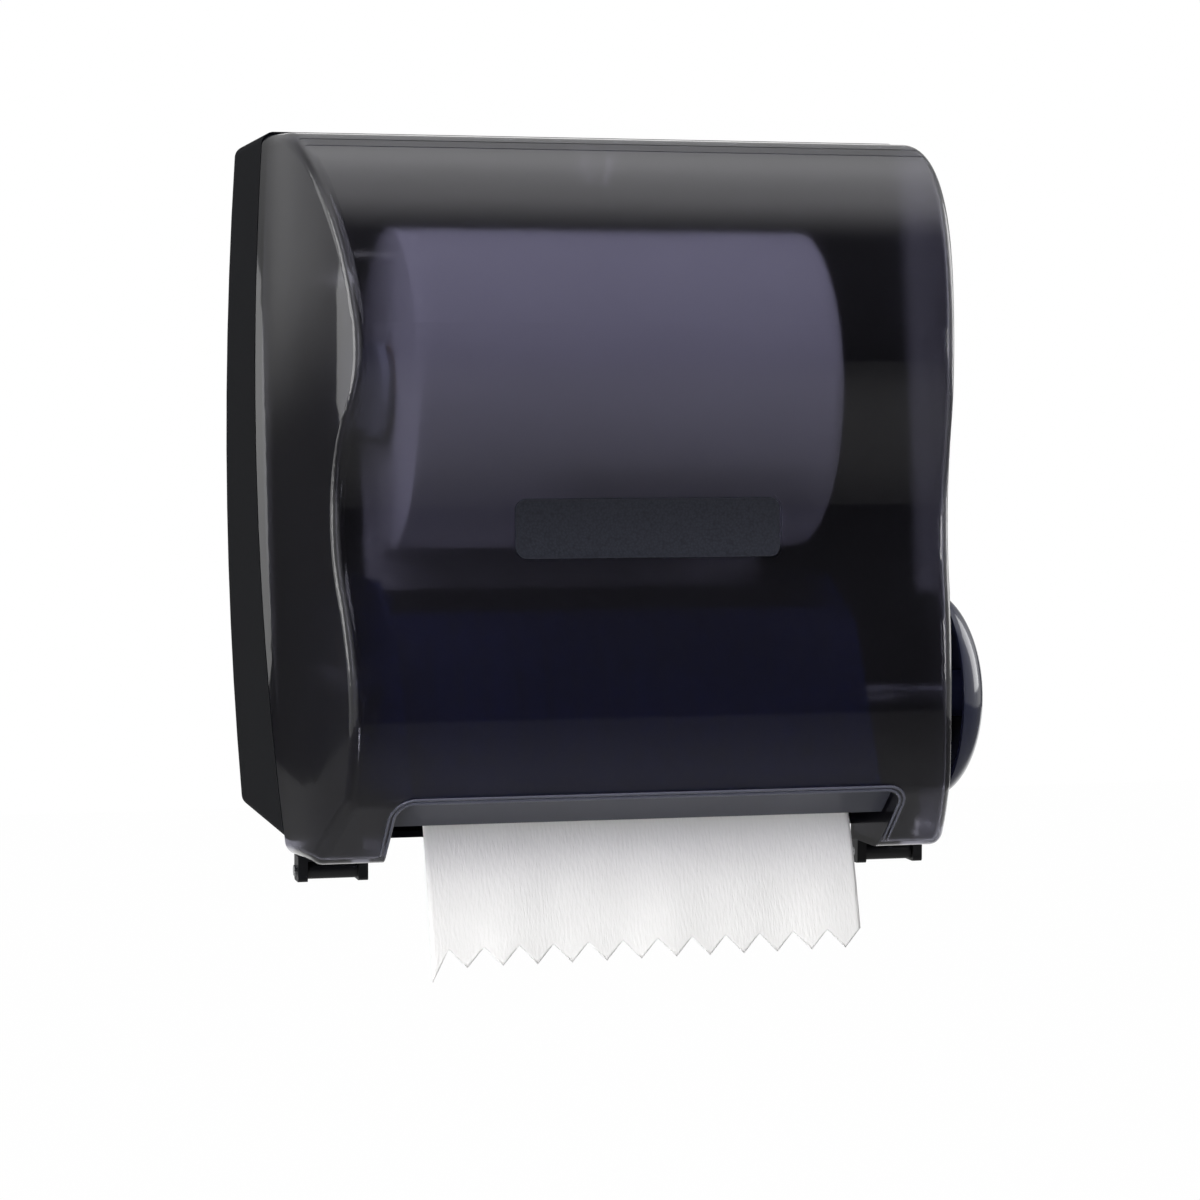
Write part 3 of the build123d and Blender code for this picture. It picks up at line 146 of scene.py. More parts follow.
seen = put(tree, "ShaderNodeMath", {0: path.outputs["Is Camera Ray"], 1: path.outputs["Is Glossy Ray"]},
           operation="MAXIMUM")
seen = put(tree, "ShaderNodeMath", {0: seen.outputs[0], 1: path.outputs["Is Transmission Ray"]},
           operation="MAXIMUM")
share = put(tree, "ShaderNodeMath", {0: seen.outputs[0], 1: sweep.outputs[0]}, operation="MULTIPLY")
kept = put(tree, "ShaderNodeMath", {0: share.outputs[0], 1: SWEEP_WHITE}, operation="MULTIPLY")
tone = put(tree, "ShaderNodeMix", {0: sweep.outputs[0], 6: srgb("#949494"), 7: srgb("#f0f0f0")},
           data_type="RGBA")
matt = put(tree, "ShaderNodeBsdfDiffuse", {"Color": tone.outputs[2]})
bright = put(tree, "ShaderNodeEmission", {"Color": srgb("#ffffff"), "Strength": 1.0})
mixed = put(tree, "ShaderNodeMixShader", {0: kept.outputs[0], 1: matt.outputs[0], 2: bright.outputs[0]})
put(tree, "ShaderNodeOutputMaterial", {"Surface": mixed.outputs[0]})

floor_x, floor_y = np.meshgrid((-FLOOR_HALF, FLOOR_HALF), (-FLOOR_HALF, FLOOR_HALF), indexing="ij")
floor = grid_mesh("floor", np.stack([floor_x, floor_y, np.full((2, 2), FLOOR_Z)], -1))
floor.data.materials.append(floor_pale)

for name, place, aim, size, watts, spread, mirrored in SOFT_BOXES:
    lamp = bpy.data.lights.new(name, "AREA")
    lamp.shape = "RECTANGLE"
    lamp.size, lamp.size_y = size
    lamp.energy = watts
    lamp.spread = math.radians(spread)
    box = bpy.data.objects.new(name, lamp)
    bpy.context.scene.collection.objects.link(box)
    box.location = place
    box.visible_glossy = mirrored
    heading = np.array(aim) - np.array(place)
    turn_x = math.acos(-heading[2] / np.linalg.norm(heading))
    box.rotation_euler = (turn_x, 0.0, math.atan2(heading[1], heading[0]) - math.pi / 2)

room = bpy.data.worlds.new("room")
room.use_nodes = True
tree = room.node_tree
tree.nodes.clear()
place = put(tree, "ShaderNodeTexCoord")
split = put(tree, "ShaderNodeSeparateXYZ", {0: place.outputs["Generated"]})
wall = put(tree, "ShaderNodeMapRange", {0: split.outputs[2], 1: WALL_RISE[0], 2: WALL_RISE[1], 4: ROOM_WALL},
           interpolation_type="SMOOTHSTEP")
over = put(tree, "ShaderNodeMapRange", {0: split.outputs[2], 1: OVER_RISE[0], 2: OVER_RISE[1], 4: ROOM_OVER},
           interpolation_type="SMOOTHSTEP")
back = put(tree, "ShaderNodeMapRange", {0: split.outputs[1], 1: BACK_TURN[0], 2: BACK_TURN[1]},
           interpolation_type="SMOOTHSTEP")
pale = put(tree, "ShaderNodeMath", {0: wall.outputs[0], 1: over.outputs[0]}, operation="ADD")
glow = put(tree, "ShaderNodeMath", {0: pale.outputs[0], 1: back.outputs[0], 2: ROOM_DIM},
           operation="MULTIPLY_ADD")
aside = put(tree, "ShaderNodeMath", {0: split.outputs[0]}, operation="ABSOLUTE")
side = put(tree, "ShaderNodeMapRange", {0: aside.outputs[0], 1: SIDE_TURN[0], 2: SIDE_TURN[1], 4: ROOM_SIDE},
           interpolation_type="SMOOTHSTEP")
path = put(tree, "ShaderNodeLightPath")
seen = put(tree, "ShaderNodeMath", {0: path.outputs["Is Camera Ray"], 1: path.outputs["Is Glossy Ray"]},
           operation="MAXIMUM")
seen = put(tree, "ShaderNodeMath", {0: seen.outputs[0], 1: path.outputs["Is Transmission Ray"]},
           operation="MAXIMUM")
level = put(tree, "ShaderNodeMath", {0: side.outputs[0], 1: seen.outputs[0], 2: glow.outputs[0]},
            operation="MULTIPLY_ADD")
ahead = tuple(-camera.rotation_euler.to_matrix().col[2])
facing = put(tree, "ShaderNodeVectorMath", {0: place.outputs["Generated"], 1: ahead}, operation="DOT_PRODUCT")
patch = put(tree, "ShaderNodeMapRange", {
    0: facing.outputs["Value"], 1: BACKDROP_EDGE[0], 2: BACKDROP_EDGE[1]}, interpolation_type="SMOOTHSTEP")
white = put(tree, "ShaderNodeMath", {0: patch.outputs[0], 1: seen.outputs[0]}, operation="MULTIPLY")
level = put(tree, "ShaderNodeMath", {0: level.outputs[0], 1: white.outputs[0]}, operation="MAXIMUM")
sky = put(tree, "ShaderNodeBackground", {"Color": srgb("#ffffff"), "Strength": level.outputs[0]})
put(tree, "ShaderNodeOutputWorld", {"Surface": sky.outputs[0]})
bpy.context.scene.world = room

# Rear case: the tray screwed to the wall, moulded in black ABS. Its mould was spark-eroded, so the outside is
# matt with an even fine grain that catches small points of light. The real grain is too fine to show,
# so it is drawn coarser.
MM = 0.001
CASE_GRAIN = 0.7 * MM


def dress(material, *names):
    """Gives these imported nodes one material."""
    for name in names:
        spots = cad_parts[name].data.materials
        spots.clear()
        spots.append(material)


black_abs, tree = new_material("spark_textured_black_abs")
place = put(tree, "ShaderNodeTexCoord")
grain = put(tree, "ShaderNodeTexNoise", {
    "Vector": place.outputs["Object"], "Scale": 1 / CASE_GRAIN, "Detail": 2.0})
cloud = put(tree, "ShaderNodeTexNoise", {
    "Vector": place.outputs["Object"], "Scale": 1 / (60 * MM), "Detail": 1.0})
tone = put(tree, "ShaderNodeMix", {0: cloud.outputs[0], 6: srgb("#08090d"), 7: srgb("#0c0d11")},
           data_type="RGBA")
rough = put(tree, "ShaderNodeMapRange", {0: grain.outputs[0], 3: 0.74, 4: 0.9})
bump = put(tree, "ShaderNodeBump", {"Height": grain.outputs[0], "Strength": 0.35, "Distance": 0.06 * MM})
shader = put(tree, "ShaderNodeBsdfPrincipled", {
    "Base Color": tone.outputs[2], "Roughness": rough.outputs[0], "Normal": bump.outputs[0],
    "IOR": 1.5, "Specular IOR Level": 0.1})
put(tree, "ShaderNodeOutputMaterial", {"Surface": shader.outputs[0]})
dress(black_abs, "rear_case")

# Front cover: one thin shell of smoke-blue polycarbonate, moulded in a polished tool. It is glossy outside,
# and what is inside shows through it dimly and softly, the white roll most of all. So thin a shell hardly
# bends light, so its own IOR is near 1, and a clear coat gives the gloss.
smoke_pc, tree = new_material("smoke_blue_polycarbonate")
place = put(tree, "ShaderNodeTexCoord")
flow = put(tree, "ShaderNodeTexNoise", {
    "Vector": place.outputs["Object"], "Scale": 1 / (90 * MM), "Detail": 1.0})
tint = put(tree, "ShaderNodeMix", {0: flow.outputs[0], 6: srgb("#848390"), 7: srgb("#8c8b98")},
           data_type="RGBA")
shader = put(tree, "ShaderNodeBsdfPrincipled", {
    "Base Color": tint.outputs[2], "Roughness": 0.3, "IOR": 1.05, "Transmission Weight": 0.985,
    "Coat Weight": 1.0, "Coat Roughness": 0.05, "Coat IOR": 1.5})
film = put(tree, "ShaderNodeBsdfTransparent", {"Color": srgb("#bab9c4")})
path = put(tree, "ShaderNodeLightPath")
mixed = put(tree, "ShaderNodeMixShader", {
    0: path.outputs["Is Shadow Ray"], 1: shader.outputs[0], 2: film.outputs[0]})
put(tree, "ShaderNodeOutputMaterial", {"Surface": mixed.outputs[0]})
dress(smoke_pc, "front_cover")

# Outlet bead: two rolled ridges round the cut-out that the towel leaves through, moulded on the cover's
# sloping underside in the same plastic. They are solid smoke plastic with a painted highlight: their grey is
# painted lighter than that plastic, so they show as two fine light lines.
OUTLET_HALF, OUTLET_Y, OUTLET_R = 118.0 * MM, -222.0 * MM, 8.0 * MM
OUTLET_Z, UNDER_FALL = -141.07 * MM, 0.8775
BEAD_END_Y = -191.0 * MM
BEAD_STEPS = (0.9 * MM, 2.9 * MM)
BEAD_HALF, BEAD_H = 0.75 * MM, 0.55 * MM
BEAD_TAPER = 0.12
BEAD_CORNER, BEAD_LEG, BEAD_FRONT, BEAD_RING = 13, 12, 20, 12
WELD_GAP = 0.002 * MM

bead_pc_painted_highlight, tree = new_material("solid_smoke_polycarbonate_painted_highlight")
place = put(tree, "ShaderNodeTexCoord")
flow = put(tree, "ShaderNodeTexNoise", {
    "Vector": place.outputs["Object"], "Scale": 1 / (20 * MM), "Detail": 1.0})
# Painted highlight: this grey is lighter than solid smoke plastic and stands in for the light along the ridges.
tone = put(tree, "ShaderNodeMix", {0: flow.outputs[0], 6: srgb("#5a5c6a"), 7: srgb("#646675")},
           data_type="RGBA")
shader = put(tree, "ShaderNodeBsdfPrincipled", {
    "Base Color": tone.outputs[2], "Roughness": 0.25, "IOR": 1.58})
put(tree, "ShaderNodeOutputMaterial", {"Surface": shader.outputs[0]})


def outlet_ridge(step):
    """An ellipse, BEAD_HALF wide and BEAD_H high each way, carried round the cut-out at a distance of step:
    in plan a U with rounded corners, and in height on the underside, which falls UNDER_FALL for each
    unit back. Its size is a sine along the path to the power BEAD_TAPER, so both ends close."""
    turn = np.linspace(0.0, math.pi / 2, BEAD_CORNER)
    reach = OUTLET_R + step
    corner_x = OUTLET_HALF - OUTLET_R + reach * np.cos(turn)
    corner_y = OUTLET_Y + OUTLET_R - reach * np.sin(turn)
    leg_y = np.linspace(BEAD_END_Y, OUTLET_Y + OUTLET_R, BEAD_LEG)[:-1]
    front_x = np.linspace(corner_x[-1], 0.0, BEAD_FRONT)[1:]
    half_x = np.concatenate([np.full_like(leg_y, OUTLET_HALF + step), corner_x, front_x])
    half_y = np.concatenate([leg_y, corner_y, np.full_like(front_x, corner_y[-1])])
    x = np.concatenate([half_x, -half_x[-2::-1]])
    y = np.concatenate([half_y, half_y[-2::-1]])
    path = np.stack([x, y, OUTLET_Z - UNDER_FALL * (y - OUTLET_Y)], -1)
    along = np.gradient(path, axis=0)
    along /= np.linalg.norm(along, axis=1, keepdims=True)
    out = np.array([0.0, -UNDER_FALL, -1.0]) / math.hypot(UNDER_FALL, 1.0)
    side = np.cross(along, out)
    ring = np.linspace(0.0, 2 * math.pi, BEAD_RING, endpoint=False)
    spread = np.abs(np.sin(np.linspace(0.0, math.pi, len(x)))) ** BEAD_TAPER
    spread[[0, -1]] = 0.0
    return (path[:, None] + spread[:, None, None] * (BEAD_HALF * np.cos(ring)[None, :, None] * side[:, None]
                                                     + BEAD_H * np.sin(ring)[None, :, None] * out))


for number, step in enumerate(BEAD_STEPS, 1):
    bead = grid_mesh("outlet_bead_%d" % number, outlet_ridge(step), loop_v=True)
    bead.data.materials.append(bead_pc_painted_highlight)
    bead.modifiers.new("closed_ends", "WELD").merge_threshold = WELD_GAP
    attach(bead, "cover")

# Label plate: a thin bare plate set in a pocket of the cover, moulded in dark ABS with a fine pebbled grain.
# The real pebbles are too fine to show, so they are drawn coarser.
LABEL_GRAIN = 1.1 * MM

label_abs, tree = new_material("pebbled_dark_abs")
place = put(tree, "ShaderNodeTexCoord")
grain = put(tree, "ShaderNodeTexVoronoi", {"Vector": place.outputs["Object"], "Scale": 1 / LABEL_GRAIN})
tone = put(tree, "ShaderNodeMix", {0: grain.outputs[0], 6: srgb("#33353f"), 7: srgb("#22242c")},
           data_type="RGBA")
bump = put(tree, "ShaderNodeBump", {"Height": grain.outputs[0], "Strength": 0.5, "Distance": 0.1 * MM})
shader = put(tree, "ShaderNodeBsdfPrincipled", {
    "Base Color": tone.outputs[2], "Roughness": 0.5, "Normal": bump.outputs[0], "IOR": 1.5})
put(tree, "ShaderNodeOutputMaterial", {"Surface": shader.outputs[0]})
dress(label_abs, "label_plate")

# Hinges: black glass-filled nylon yokes under the cover's legs, round knuckles under the case. A flat strip
# inside each leg backs its floor where the yoke is fixed. The glass fibres leave a slightly cloudy satin
# skin, drawn coarser than it is, to show.
BACKING_X = (121.0 * MM, 149.5 * MM)
BACKING_Y = (-153.0 * MM, -143.0 * MM)
BACKING_Z = (-169.6 * MM, -163.5 * MM)
BACKING_ROUND = 0.3
BACKING_ROWS, BACKING_RING = 33, 32

nylon, tree = new_material("satin_black_nylon")
place = put(tree, "ShaderNodeTexCoord")
fibre = put(tree, "ShaderNodeTexNoise", {
    "Vector": place.outputs["Object"], "Scale": 1 / (1.2 * MM), "Detail": 3.0})
tone = put(tree, "ShaderNodeMix", {0: fibre.outputs[0], 6: srgb("#0c0c0e"), 7: srgb("#141518")},
           data_type="RGBA")
rough = put(tree, "ShaderNodeMapRange", {0: fibre.outputs[0], 3: 0.32, 4: 0.46})
bump = put(tree, "ShaderNodeBump", {"Height": fibre.outputs[0], "Strength": 0.15, "Distance": 0.05 * MM})
shader = put(tree, "ShaderNodeBsdfPrincipled", {
    "Base Color": tone.outputs[2], "Roughness": rough.outputs[0], "Normal": bump.outputs[0], "IOR": 1.53})
put(tree, "ShaderNodeOutputMaterial", {"Surface": shader.outputs[0]})
dress(nylon, "hinge_yoke_left", "hinge_yoke_right", "hinge_knuckle_left", "hinge_knuckle_right")


def backing_strip(side):
    """A rounded rectangle carried along X: across, |cos| or |sin| of the turn to the power BACKING_ROUND,
    and along, its size is sin to the same power, which draws both ends in to a point."""
    along = np.linspace(0.0, math.pi, BACKING_ROWS)
    turn = -side * np.linspace(0.0, 2 * math.pi, BACKING_RING, endpoint=False)
    size = np.abs(np.sin(along)) ** BACKING_ROUND
    size[[0, -1]] = 0.0
    ring_y = np.sign(np.cos(turn)) * np.abs(np.cos(turn)) ** BACKING_ROUND
    ring_z = np.sign(np.sin(turn)) * np.abs(np.sin(turn)) ** BACKING_ROUND
    x = side * (np.mean(BACKING_X) - np.ptp(BACKING_X) / 2 * np.cos(along))
    y = np.mean(BACKING_Y) + np.ptp(BACKING_Y) / 2 * np.outer(size, ring_y)
    z = np.mean(BACKING_Z) + np.ptp(BACKING_Z) / 2 * np.outer(size, ring_z)
    return np.stack([np.broadcast_to(x[:, None], y.shape), y, z], -1)


for name, side in (("hinge_backing_left", -1), ("hinge_backing_right", 1)):
    backing = grid_mesh(name, backing_strip(side), loop_v=True)
    backing.data.materials.append(nylon)
    backing.modifiers.new("closed_ends", "WELD").merge_threshold = WELD_GAP
    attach(backing, "cover")

# Steel pieces: pins, screws, rods, the knife's blade and the coiled index spring, all left bright.
# Drawing and turning leave faint marks along their length, made wider here than they are, to show.
MARK_L, MARK_W = 25.0 * MM, MM / 0.9

steel, tree = new_material("bright_drawn_steel")
place = put(tree, "ShaderNodeTexCoord")
stretch = put(tree, "ShaderNodeMapping", {
    "Vector": place.outputs["Object"], "Scale": (1 / MARK_L, 1 / MARK_W, 1 / MARK_W)})
marks = put(tree, "ShaderNodeTexNoise", {"Vector": stretch.outputs[0], "Scale": 1.0, "Detail": 3.0})
tone = put(tree, "ShaderNodeMix", {0: marks.outputs[0], 6: srgb("#b4b6b8"), 7: srgb("#d2d3d5")},
           data_type="RGBA")
rough = put(tree, "ShaderNodeMapRange", {0: marks.outputs[0], 3: 0.2, 4: 0.38})
shader = put(tree, "ShaderNodeBsdfPrincipled", {
    "Base Color": tone.outputs[2], "Roughness": rough.outputs[0], "Metallic": 1.0})
put(tree, "ShaderNodeOutputMaterial", {"Surface": shader.outputs[0]})
dress(steel, "hinge_pin_left", "hinge_pin_right", "drum_shaft", "knife_rod", "knife_blade", "pinch_rod",
      "guide_bar", "pinch_axle", "arm_pin_left", "arm_pin_right", "spring_post", "index_spring",
      "chassis_screw_left_lower", "chassis_screw_left_upper",
      "chassis_screw_right_lower", "chassis_screw_right_upper")

# Lock: a turned zinc barrel in a sleeve under the cover's top, with a tongue that turns into a keeper
# under the case's top. The zinc is nickel plated, so it is bright with a slight warm haze, and the keeper is
# moulded in the case's black ABS.
nickel, tree = new_material("nickel_plated_zinc")
place = put(tree, "ShaderNodeTexCoord")
haze = put(tree, "ShaderNodeTexNoise", {
    "Vector": place.outputs["Object"], "Scale": 1 / (2.5 * MM), "Detail": 4.0})
tone = put(tree, "ShaderNodeMix", {0: haze.outputs[0], 6: srgb("#bdb9b0"), 7: srgb("#d8d5cd")},
           data_type="RGBA")
rough = put(tree, "ShaderNodeMapRange", {0: haze.outputs[0], 3: 0.16, 4: 0.3})
shader = put(tree, "ShaderNodeBsdfPrincipled", {
    "Base Color": tone.outputs[2], "Roughness": rough.outputs[0], "Metallic": 1.0})
put(tree, "ShaderNodeOutputMaterial", {"Surface": shader.outputs[0]})
dress(nickel, "lock_sleeve", "lock_barrel", "lock_tongue")
dress(black_abs, "lock_keeper")

# Chassis plates and guides: two plates screwed to the case's bosses, with the towel's guides and the pinch
# roller's arms between them. They are dark blue ABS, moulded smooth, with an even sheen and a faint cloud.
# The front guide's ribs show faintly through the lower cover.
dark_abs, tree = new_material("smooth_dark_abs")
place = put(tree, "ShaderNodeTexCoord")
cloud = put(tree, "ShaderNodeTexNoise", {
    "Vector": place.outputs["Object"], "Scale": 1 / (14 * MM), "Detail": 3.0})
tone = put(tree, "ShaderNodeMix", {0: cloud.outputs[0], 6: srgb("#0a1342"), 7: srgb("#101b50")},
           data_type="RGBA")
rough = put(tree, "ShaderNodeMapRange", {0: cloud.outputs[0], 3: 0.3, 4: 0.42})
shader = put(tree, "ShaderNodeBsdfPrincipled", {
    "Base Color": tone.outputs[2], "Roughness": rough.outputs[0], "IOR": 1.5})
put(tree, "ShaderNodeOutputMaterial", {"Surface": shader.outputs[0]})
dress(dark_abs, "chassis_left", "chassis_right", "front_guide", "rear_guide",
      "pinch_arm_left", "pinch_arm_right")

# Bushes: white acetal rings set in the chassis plates, which carry the drum's shaft.
# Plain acetal is smooth and a little waxy, with a faint milky cloud.
acetal, tree = new_material("natural_acetal")
place = put(tree, "ShaderNodeTexCoord")
cloud = put(tree, "ShaderNodeTexNoise", {
    "Vector": place.outputs["Object"], "Scale": 1 / (4 * MM), "Detail": 2.0})
tone = put(tree, "ShaderNodeMix", {0: cloud.outputs[0], 6: srgb("#d6d5cf"), 7: srgb("#e6e5df")},
           data_type="RGBA")
shader = put(tree, "ShaderNodeBsdfPrincipled", {
    "Base Color": tone.outputs[2], "Roughness": 0.35, "IOR": 1.48})
put(tree, "ShaderNodeOutputMaterial", {"Surface": shader.outputs[0]})
dress(acetal, "drum_bush_left", "drum_bush_right")

# Drum: the feed drum with its end caps and crank and the knife's carrier inside it, in dark blue-grey ABS.
# A fine matt grain gives the drum its grip on the towel. It is drawn coarser than it is, to show.
drum_abs, tree = new_material("matt_grey_abs")
place = put(tree, "ShaderNodeTexCoord")
grain = put(tree, "ShaderNodeTexNoise", {
    "Vector": place.outputs["Object"], "Scale": 1 / (0.9 * MM), "Detail": 2.0})
tone = put(tree, "ShaderNodeMix", {0: grain.outputs[0], 6: srgb("#121936"), 7: srgb("#1a2244")},
           data_type="RGBA")
bump = put(tree, "ShaderNodeBump", {"Height": grain.outputs[0], "Strength": 0.4, "Distance": 0.08 * MM})
shader = put(tree, "ShaderNodeBsdfPrincipled", {
    "Base Color": tone.outputs[2], "Roughness": 0.6, "Normal": bump.outputs[0], "IOR": 1.5})
put(tree, "ShaderNodeOutputMaterial", {"Surface": shader.outputs[0]})
dress(drum_abs, "feed_drum", "drum_cap_left", "drum_cap_right", "drum_crank", "knife_carrier")

# Hand wheel: a glossy domed wheel on the drum's shaft, moulded in the same smoke plastic as the cover
# but thicker, so it looks nearly black.
wheel_pc, tree = new_material("deep_smoke_polycarbonate")
place = put(tree, "ShaderNodeTexCoord")
flow = put(tree, "ShaderNodeTexNoise", {
    "Vector": place.outputs["Object"], "Scale": 1 / (40 * MM), "Detail": 1.0})
tone = put(tree, "ShaderNodeMix", {0: flow.outputs[0], 6: srgb("#3a3d52"), 7: srgb("#444860")},
           data_type="RGBA")
shader = put(tree, "ShaderNodeBsdfPrincipled", {
    "Base Color": tone.outputs[2], "Roughness": 0.1, "IOR": 1.5})
put(tree, "ShaderNodeOutputMaterial", {"Surface": shader.outputs[0]})
dress(wheel_pc, "hand_wheel")

# Pinch roller: a rubber sleeve on a steel axle that presses the towel on the drum.
# Ground rubber is matt with a fine dusty mottle, drawn coarser than it is, to show.
rubber, tree = new_material("ground_black_rubber")
place = put(tree, "ShaderNodeTexCoord")
dust = put(tree, "ShaderNodeTexNoise", {
    "Vector": place.outputs["Object"], "Scale": 1 / (0.8 * MM), "Detail": 3.0})
tone = put(tree, "ShaderNodeMix", {0: dust.outputs[0], 6: srgb("#1b1b1c"), 7: srgb("#2a2a2b")},
           data_type="RGBA")
shader = put(tree, "ShaderNodeBsdfPrincipled", {
    "Base Color": tone.outputs[2], "Roughness": 0.8, "IOR": 1.52})
put(tree, "ShaderNodeOutputMaterial", {"Surface": shader.outputs[0]})
dress(rubber, "pinch_roller")

# Nose strip: the sloping lip that the towel leaves under, fixed below the lower edges of the chassis plates.
# It is moulded in smoke plastic with a satin face, so it mirrors the light softly.
nose_pc, tree = new_material("satin_smoke_plastic")
place = put(tree, "ShaderNodeTexCoord")
cloud = put(tree, "ShaderNodeTexNoise", {
    "Vector": place.outputs["Object"], "Scale": 1 / (25 * MM), "Detail": 2.0})
tone = put(tree, "ShaderNodeMix", {0: cloud.outputs[0], 6: srgb("#363842"), 7: srgb("#40424d")},
           data_type="RGBA")
shader = put(tree, "ShaderNodeBsdfPrincipled", {
    "Base Color": tone.outputs[2], "Roughness": 0.3, "IOR": 1.55})
put(tree, "ShaderNodeOutputMaterial", {"Surface": shader.outputs[0]})
dress(nose_pc, "nose_strip")

# Roll arms: two springy arms pinned to the case, each with a hub that plugs into the roll's core.
# They are moulded in light grey acetal, smooth and a little waxy.
arm_acetal, tree = new_material("light_grey_acetal")
place = put(tree, "ShaderNodeTexCoord")
cloud = put(tree, "ShaderNodeTexNoise", {
    "Vector": place.outputs["Object"], "Scale": 1 / (9 * MM), "Detail": 2.0})
tone = put(tree, "ShaderNodeMix", {0: cloud.outputs[0], 6: srgb("#a9abb0"), 7: srgb("#b9bbc0")},
           data_type="RGBA")
shader = put(tree, "ShaderNodeBsdfPrincipled", {
    "Base Color": tone.outputs[2], "Roughness": 0.38, "IOR": 1.48})
put(tree, "ShaderNodeOutputMaterial", {"Surface": shader.outputs[0]})
dress(arm_acetal, "roll_arm_left", "roll_arm_right", "roll_hub_left", "roll_hub_right")

# Roll core: a spiral-wound tube of brown board inside the roll, carried on the arms' hubs.
# The pulp makes it matt and mottled.
board, tree = new_material("brown_core_board")
place = put(tree, "ShaderNodeTexCoord")
pulp = put(tree, "ShaderNodeTexNoise", {
    "Vector": place.outputs["Object"], "Scale": 1 / (1.5 * MM), "Detail": 5.0})
tone = put(tree, "ShaderNodeMix", {0: pulp.outputs[0], 6: srgb("#8a6b48"), 7: srgb("#b08f66")},
           data_type="RGBA")
shader = put(tree, "ShaderNodeBsdfPrincipled", {"Base Color": tone.outputs[2], "Roughness": 0.9})
put(tree, "ShaderNodeOutputMaterial", {"Surface": shader.outputs[0]})
dress(board, "roll_core")

# Towel roll: about 160 turns of white tissue towel wound on the core. Its ends show the edges of the turns,
# which never line up quite evenly, and its last turn runs off at the back to the guide bar. The crepe shows
# as fine streaks along the towel, drawn coarser than they are.
TOWEL_HALF = 101.5 * MM
ROLL_MID = (-108.0 * MM, 44.0 * MM)
ROLL_R = 76.0 * MM
CORE_R = 20.55 * MM
ROLL_STEPS = 144
EDGE_ROWS = 120
EDGE_PITCH = 0.93 * MM
EDGE_SWELL = 7.7 * EDGE_PITCH
EDGE_DEPTH = 0.5 * MM
TURN_T = 0.35 * MM
ROLL_COLUMNS = 40
OFF_ROLL = math.radians(-9.35)
CREPE_W, CREPE_L = 1.1 * MM, 6.0 * MM

paper, tree = new_material("creped_white_towel_paper")
spread = put(tree, "ShaderNodeUVMap", uv_map="flat")
crepe_map = put(tree, "ShaderNodeMapping", {
    "Vector": spread.outputs[0], "Scale": (1 / CREPE_W, 1 / CREPE_L, 1.0)})
crepe = put(tree, "ShaderNodeTexNoise", {"Vector": crepe_map.outputs[0], "Scale": 1.0, "Detail": 3.0})
pulp = put(tree, "ShaderNodeTexNoise", {"Vector": spread.outputs[0], "Scale": 1 / (18 * MM), "Detail": 4.0})
height = put(tree, "ShaderNodeMath", {0: crepe.outputs[0], 1: 0.5}, operation="SUBTRACT")
tone = put(tree, "ShaderNodeMix", {0: pulp.outputs[0], 6: srgb("#f3f2f1"), 7: srgb("#fbfaf9")},
           data_type="RGBA")
bump = put(tree, "ShaderNodeBump", {"Height": height.outputs[0], "Strength": 1.0, "Distance": 0.3 * MM})
shader = put(tree, "ShaderNodeBsdfPrincipled", {
    "Base Color": tone.outputs[2], "Roughness": 0.95, "Normal": bump.outputs[0], "Specular IOR Level": 0.2})
put(tree, "ShaderNodeOutputMaterial", {"Surface": shader.outputs[0]})


def wound_roll():
    """A ring profile swept round X: r climbs the left end, crosses the outside and falls down the right end.
    On the ends x steps in by up to EDGE_DEPTH as a sum of two sines of r, one per few turns;
    the outside radius falls by one towel thickness round the circle, as a spiral does, and that fades
    toward the core."""
    rise = np.linspace(0.0, 1.0, EDGE_ROWS)
    radius = CORE_R + (ROLL_R - CORE_R) * rise
    step_in = EDGE_DEPTH * (0.5 + 0.3 * np.sin(2 * math.pi * radius / EDGE_PITCH)
                            + 0.2 * np.sin(2 * math.pi * radius / EDGE_SWELL))
    step_in[[0, -1]] = EDGE_DEPTH
    end_x = TOWEL_HALF - step_in
    across = np.linspace(-1.0, 1.0, ROLL_COLUMNS + 2)[1:-1] * (TOWEL_HALF - EDGE_DEPTH)
    profile_x = np.concatenate([-end_x, across, end_x[::-1]])
    profile_r = np.concatenate([radius, np.full(ROLL_COLUMNS, ROLL_R), radius[::-1]])
    weight = np.concatenate([rise, np.ones(ROLL_COLUMNS), rise[::-1]])
    angle = np.linspace(0.0, 2 * math.pi, ROLL_STEPS, endpoint=False)
    grown = profile_r[None] - TURN_T * weight[None] ** 8 * (angle / (2 * math.pi))[:, None]
    points = np.stack([np.broadcast_to(profile_x, grown.shape),
                       ROLL_MID[0] + grown * np.cos(angle + OFF_ROLL)[:, None],
                       ROLL_MID[1] + grown * np.sin(angle + OFF_ROLL)[:, None]], -1)
    flat = np.stack([np.broadcast_to(profile_x, grown.shape),
                     np.broadcast_to(angle[:, None] * ROLL_R, grown.shape)], -1)
    return points, flat


roll_points, roll_flat = wound_roll()
roll = grid_mesh("towel_winding", roll_points, loop_u=True, loop_v=True, uv=roll_flat)
roll.data.materials.append(paper)
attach(roll, "roll")
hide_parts("towel_roll")

